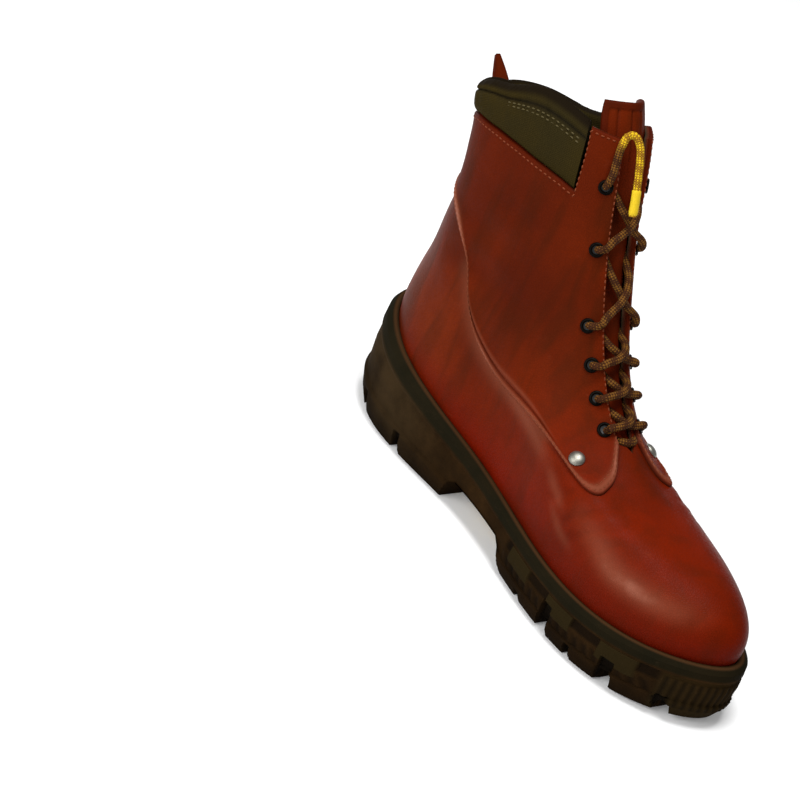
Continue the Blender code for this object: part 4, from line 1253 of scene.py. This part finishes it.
def border_distances(around, level):
    """Distance of a grid's points from its lower, upper, first and last borders."""
    points = last_surface(around, level)
    up, along = run_from_start(points, 0), run_from_start(points, 1)
    return up, up[-1] - up, along, along[:, -1:] - along


class SHOE_OT_quarters(bpy.types.Operator):
    """Quarter panels with their facings, seam ridge and stitching"""

    bl_idname = "shoe.quarters"
    bl_label = "Quarters"

    def execute(self, context):
        panel, pitch = sizes().panel / MM, sizes().stitch / MM
        finish = leather_finish("leather_quarter")
        rows = []
        for name, side in (("quarter_outer", 1), ("quarter_inner", -1)):
            around, level, places = quarter_lines(side)
            base = last_surface(around, level)
            borders = border_distances(around, level)
            seam, near = borders[0], np.minimum.reduce(borders)
            side_run = step(places, 4.0, 5.2) * step(-places, -9.4, -8.2)
            hollow = side_run * bell(seam - SEAM_HOLLOW[0], SEAM_HOLLOW[1])
            swell = side_run * bell(seam - SEAM_SWELL[0], SEAM_SWELL[1])
            piping = 0.55 * bell(seam - 3.9, 1.2) - 0.7 * hollow + 0.5 * swell
            rise = 0.15 + (panel + 0.3) * rounded(near, 1.3) + piping * step(near, 0.5, 1.5)
            pale, dark = painted_light_places(base)
            marks = {
                # Painted shade in the creases and the shaded patches.
                "painted_shade": np.maximum(np.clip(-relief(base) / 1.6, 0, 1), 1.6 * dark),
                # Darker cut edges, and painted shade in the hollow above the seam.
                "edge": np.exp(-near / 0.7) + 0.55 * hollow,
                # Painted highlight on the quarter's edge over the seam, on the swell and on the highlight
                # lines.
                "ridge": np.maximum.reduce([bell(seam - 3.2, 3.0), pale, 0.5 * swell]),
            }
            # The lines run from heel to throat on the outer side and back on the inner one, so that the faces
            # look outward on both.
            body = slab(on_shoe(around, level, rise)[:, ::-side], on_shoe(around, level, 0.1)[:, ::-side])
            make_piece(name + "_leather", body, finish,
                       {key: both(values[:, ::-side]) for key, values in marks.items()},
                       replaces=(name,), sharp=50.0)
            up = seam[-1]
            for share, lift, start in ((2.3 / up, 0.5, 0), (5.3 / up, 0.5, 0), (1 - 2.6 / up, 0.45, 2)):
                line_around = around[0] + share * (around[-1] - around[0])
                line_level = level[0] + share * (level[-1] - level[0])
                rows.append(stitches(line_around[start:], line_level[start:], panel + lift, pitch))
            rise, share = np.linspace(0.06, 0.97, 60), np.linspace(0, 1, len(around))
            facing = np.interp(rise, share, around[:, 0]) - side * 0.0035
            rows.append(stitches(facing, np.interp(rise, share, level[:, 0]), panel + 0.45, pitch))
        sew("quarter_stitching", rows, "thread_rust", colours().thread)
        return {"FINISHED"}


class SHOE_OT_back_tab(bpy.types.Operator):
    """Pointed strip over the back seam"""

    bl_idname = "shoe.back_tab"
    bl_label = "Back tab"

    def execute(self, context):
        thick = sizes().tab / MM
        heights, widths = smooth_through(BACK_TAB, 90).T
        around = np.linspace(-1, 1, 31) * np.maximum(widths, 0.0035)[:, None]
        level = level_at(around, heights[:, None])
        near = np.minimum.reduce(border_distances(around, level))
        high = on_shoe(around, level, 0.35 + thick * rounded(near, 1.2), folded=False)
        body = slab(high, on_shoe(around, level, 0.3, folded=False))
        make_piece("back_tab_leather", body, leather_finish("leather_tab"),
                   {"edge": both(np.exp(-near / 0.8))}, replaces=("back_tab",), sharp=50.0)
        sewn = slice(4, 74)
        rows = [stitches(around[sewn, k], level[sewn, k], thick + 0.5, sizes().stitch / MM) for k in (5, -6)]
        sew("tab_stitching", rows, "thread_rust_tab", colours().thread)
        return {"FINISHED"}


class SHOE_OT_collar(bpy.types.Operator):
    """Padded collar with its sewn channel and rolled top edge"""

    bl_idname = "shoe.collar"
    bl_label = "Collar"

    def execute(self, context):
        columns, sides = 190, 56
        end, sewn = NOTCH_AROUND - 0.004, 0.72
        foot = np.linspace(-1, 1, columns) * end
        reach = np.where(foot < 0, -COLLAR_ENDS[1], COLLAR_ENDS[0]) - end
        head = foot + np.sign(foot) * step(np.abs(foot), 0.35, end) * reach
        low = level_at(foot, table_at(TOP_EDGE, from_back(foot)) + 0.4)
        top = np.where(head < 0, smooth_at(COLLAR_TOP_INNER, -head), smooth_at(COLLAR_TOP, head))
        high = level_at(head, top)
        pad = np.array(COLLAR_PAD)
        places = np.arange(sides) * len(pad) / sides
        i = places.astype(int)
        j = (i + 1) % len(pad)
        slopes = slope_matrix(np.arange(len(pad)), period=len(pad)) @ pad
        section = cubic(pad[i], pad[j], slopes[i], slopes[j], 1.0, (places - i)[:, None])
        share, offset = np.clip(section[:, :1], 0.0, 1.0), section[:, 1:]
        outer = step(offset, -4.5, -1.5)
        clear = np.clip((from_back(foot) - 0.03) / 0.05, 0, 1)
        channel = bell(share - sewn, 0.035) * outer
        puff = np.sin(np.pi * np.clip(share / sewn, 0, 1)) * outer * 0.9
        ruck = 0.35 * np.sin(foot * 170 + 3 * share) * np.sin(foot * 61 + 1.0) * outer * step(share, 0.1, 0.5)
        bulge = np.where(offset > 0, offset * clear, offset) + clear * (puff - 1.3 * channel) + ruck
        around, level = foot + share * (head - foot), low + share * (high - low)
        grid = on_shoe(around, level, bulge, folded=False).transpose(1, 0, 2)
        caps = [grid[[k]].mean(axis=1, keepdims=True) + np.zeros((1, sides, 1)) for k in (0, -1)]
        points = np.concatenate([caps[0], grid, caps[1]]).reshape(-1, 3)
        faces = quads(columns + 2, sides, wrap=True)[:, ::-1]
        # Painted shade on the rolled top edge and in the sewn channel.
        marks = {"roll": step(share, 0.8, 0.92), "painted_shade": channel}
        marks = {key: np.tile(values.ravel(), columns + 2) for key, values in marks.items()}
        collar = make_piece("collar_pad", (points, faces), collar_finish(), marks,
                            replaces=("collar",), sharp=70.0)
        rows = []
        for line in (0.6, 0.66):
            puffed = 1.55 + 0.9 * math.sin(math.pi * line / sewn)
            for some in (np.flatnonzero(foot > 0.2)[2:-2], np.flatnonzero(foot < -0.2)[2:-2]):
                rows.append(stitches((foot + line * (head - foot))[some], (low + line * (high - low))[some],
                                     puffed, 3.2, folded=False))
        sew("collar_stitching", rows, "thread_olive", colours().thread_collar)
        return {"FINISHED"}


class SHOE_OT_tongue(bpy.types.Operator):
    """Tongue with its bound edge and stitched top"""

    bl_idname = "shoe.tongue"
    bl_label = "Tongue"

    def execute(self, context):
        thick, set_in, edge_draw = sizes().tongue / MM, 3.0, 1.6
        heights, widths = smooth_through(TONGUE_ROWS, 120).T
        over = np.linspace(-1, 1, 61)
        around = FRONT + over * widths[:, None]
        level = level_at(FRONT, heights)[:, None] + 0 * around
        near = np.minimum.reduce(border_distances(around, level)[1:])
        binding = step(-near, -4.6, -3.8)
        lines = bell(np.abs((over * 2.5) % 1 - 0.5), 0.08) * step(heights, 205, 215)[:, None] * (1 - binding)
        drawn = edge_draw * (1 - rounded(near, 1.6))
        high = on_shoe(around, level, 0.5 * binding - 0.7 * lines - set_in - drawn, folded=False)
        low = on_shoe(around, level, drawn - set_in - thick, folded=False)
        # Painted shade in the grooved lines at the tongue's top; the bound edge is darker leather.
        tongue = make_piece("tongue_leather", slab(high, low), leather_finish("leather_tongue", 0.45),
                            {"painted_shade": both(lines, 0.0), "edge": both(binding * 0.8)},
                            replaces=("tongue",), sharp=60.0)
        return {"FINISHED"}


def turned(profile, around, level, lift, steps):
    """Points and faces of a profile of radius and height, turned about the last's normal at a place on
    the shoe and lifted off it."""
    centre, axis = on_shoe(around, level, lift), last_normal(around, level)
    spoke = unit(np.cross(axis, (0.0, 0.0, 1.0)))
    angles = np.arange(steps)[:, None] * math.tau / steps
    spokes = np.cos(angles) * spoke + np.sin(angles) * np.cross(axis, spoke)
    profile = np.array(profile)
    points = centre + profile[:, :1, None] * spokes + profile[:, 1:, None] * axis
    return points.reshape(-1, 3), quads(len(profile), steps, wrap=True)


class SHOE_OT_metal(bpy.types.Operator):
    """Blackened eyelets on both facings and a bright rivet on each lobe"""

    bl_idname = "shoe.metal"
    bl_label = "Eyelets and rivets"

    def execute(self, context):
        paint, lift = colours(), sizes().panel / MM + 0.55
        rings, holes = [], []
        for side in (1, -1):
            for around, height in EYELETS:
                level = level_at(around, height)
                # The second profile is a disc of painted shade in the eyelet's hole.
                for profile, hole in (((*EYELET_PROFILE, EYELET_PROFILE[0]), 0.0), (EYELET_HOLE, 1.0)):
                    rings.append(turned(profile, side * around, level, lift, 28))
                    holes += [hole] * len(rings[-1][0])
        names = [f"eyelet_{side}_{number}" for side in ("outer", "inner") for number in range(1, 7)]
        finish = metal_finish("eyelet_black", paint.eyelet, paint.eyelet_stain, 0.5)
        make_piece("eyelet_rings", joined(rings), finish, {"hole": holes}, replaces=names,
                   sharp=60.0, outward=True)
        heads = [
            turned(RIVET_PROFILE, around, level_at(around, RIVET_HEIGHT), lift, 32)
            for around in (RIVET_AROUND, 1 - RIVET_AROUND)
        ]
        finish = metal_finish("rivet_bright", paint.rivet, paint.rivet_stain, 0.45)
        make_piece("rivet_heads", joined(heads), finish,
                   replaces=("rivet_outer", "rivet_inner"), sharp=60.0, outward=True)
        return {"FINISHED"}


class SHOE_PT_pieces(bpy.types.Panel):
    """Sizes, colours and pieces of the shoe"""

    bl_label = "Safety shoe"
    bl_idname = "SHOE_PT_pieces"
    bl_space_type = "VIEW_3D"
    bl_region_type = "UI"
    bl_category = "Shoe"

    def draw(self, context):
        for owner in (context.scene.shoe_sizes, context.scene.shoe_colours, context.scene.shoe_view):
            box = self.layout.box()
            for key in owner.__annotations__:
                box.prop(owner, key)
        for operator in OPERATORS:
            self.layout.operator(operator.bl_idname)


OPERATORS = (
    SHOE_OT_stage, SHOE_OT_laces, SHOE_OT_sole, SHOE_OT_upper, SHOE_OT_quarters, SHOE_OT_back_tab,
    SHOE_OT_collar, SHOE_OT_tongue, SHOE_OT_metal,
)
CLASSES = (ShoeSizes, ShoeColours, ShoeView, *OPERATORS, SHOE_PT_pieces)


def register():
    for item in CLASSES:
        bpy.utils.register_class(item)
    bpy.types.Scene.shoe_sizes = PointerProperty(type=ShoeSizes)
    bpy.types.Scene.shoe_colours = PointerProperty(type=ShoeColours)
    bpy.types.Scene.shoe_view = PointerProperty(type=ShoeView)


def unregister():
    del bpy.types.Scene.shoe_view
    del bpy.types.Scene.shoe_colours
    del bpy.types.Scene.shoe_sizes
    for item in reversed(CLASSES):
        bpy.utils.unregister_class(item)


def main():
    register()
    bpy.ops.shoe.stage()
    bpy.ops.shoe.laces()
    bpy.ops.shoe.sole()
    bpy.ops.shoe.upper()
    bpy.ops.shoe.quarters()
    bpy.ops.shoe.back_tab()
    bpy.ops.shoe.collar()
    bpy.ops.shoe.tongue()
    bpy.ops.shoe.metal()


if __name__ == "__main__":
    main()
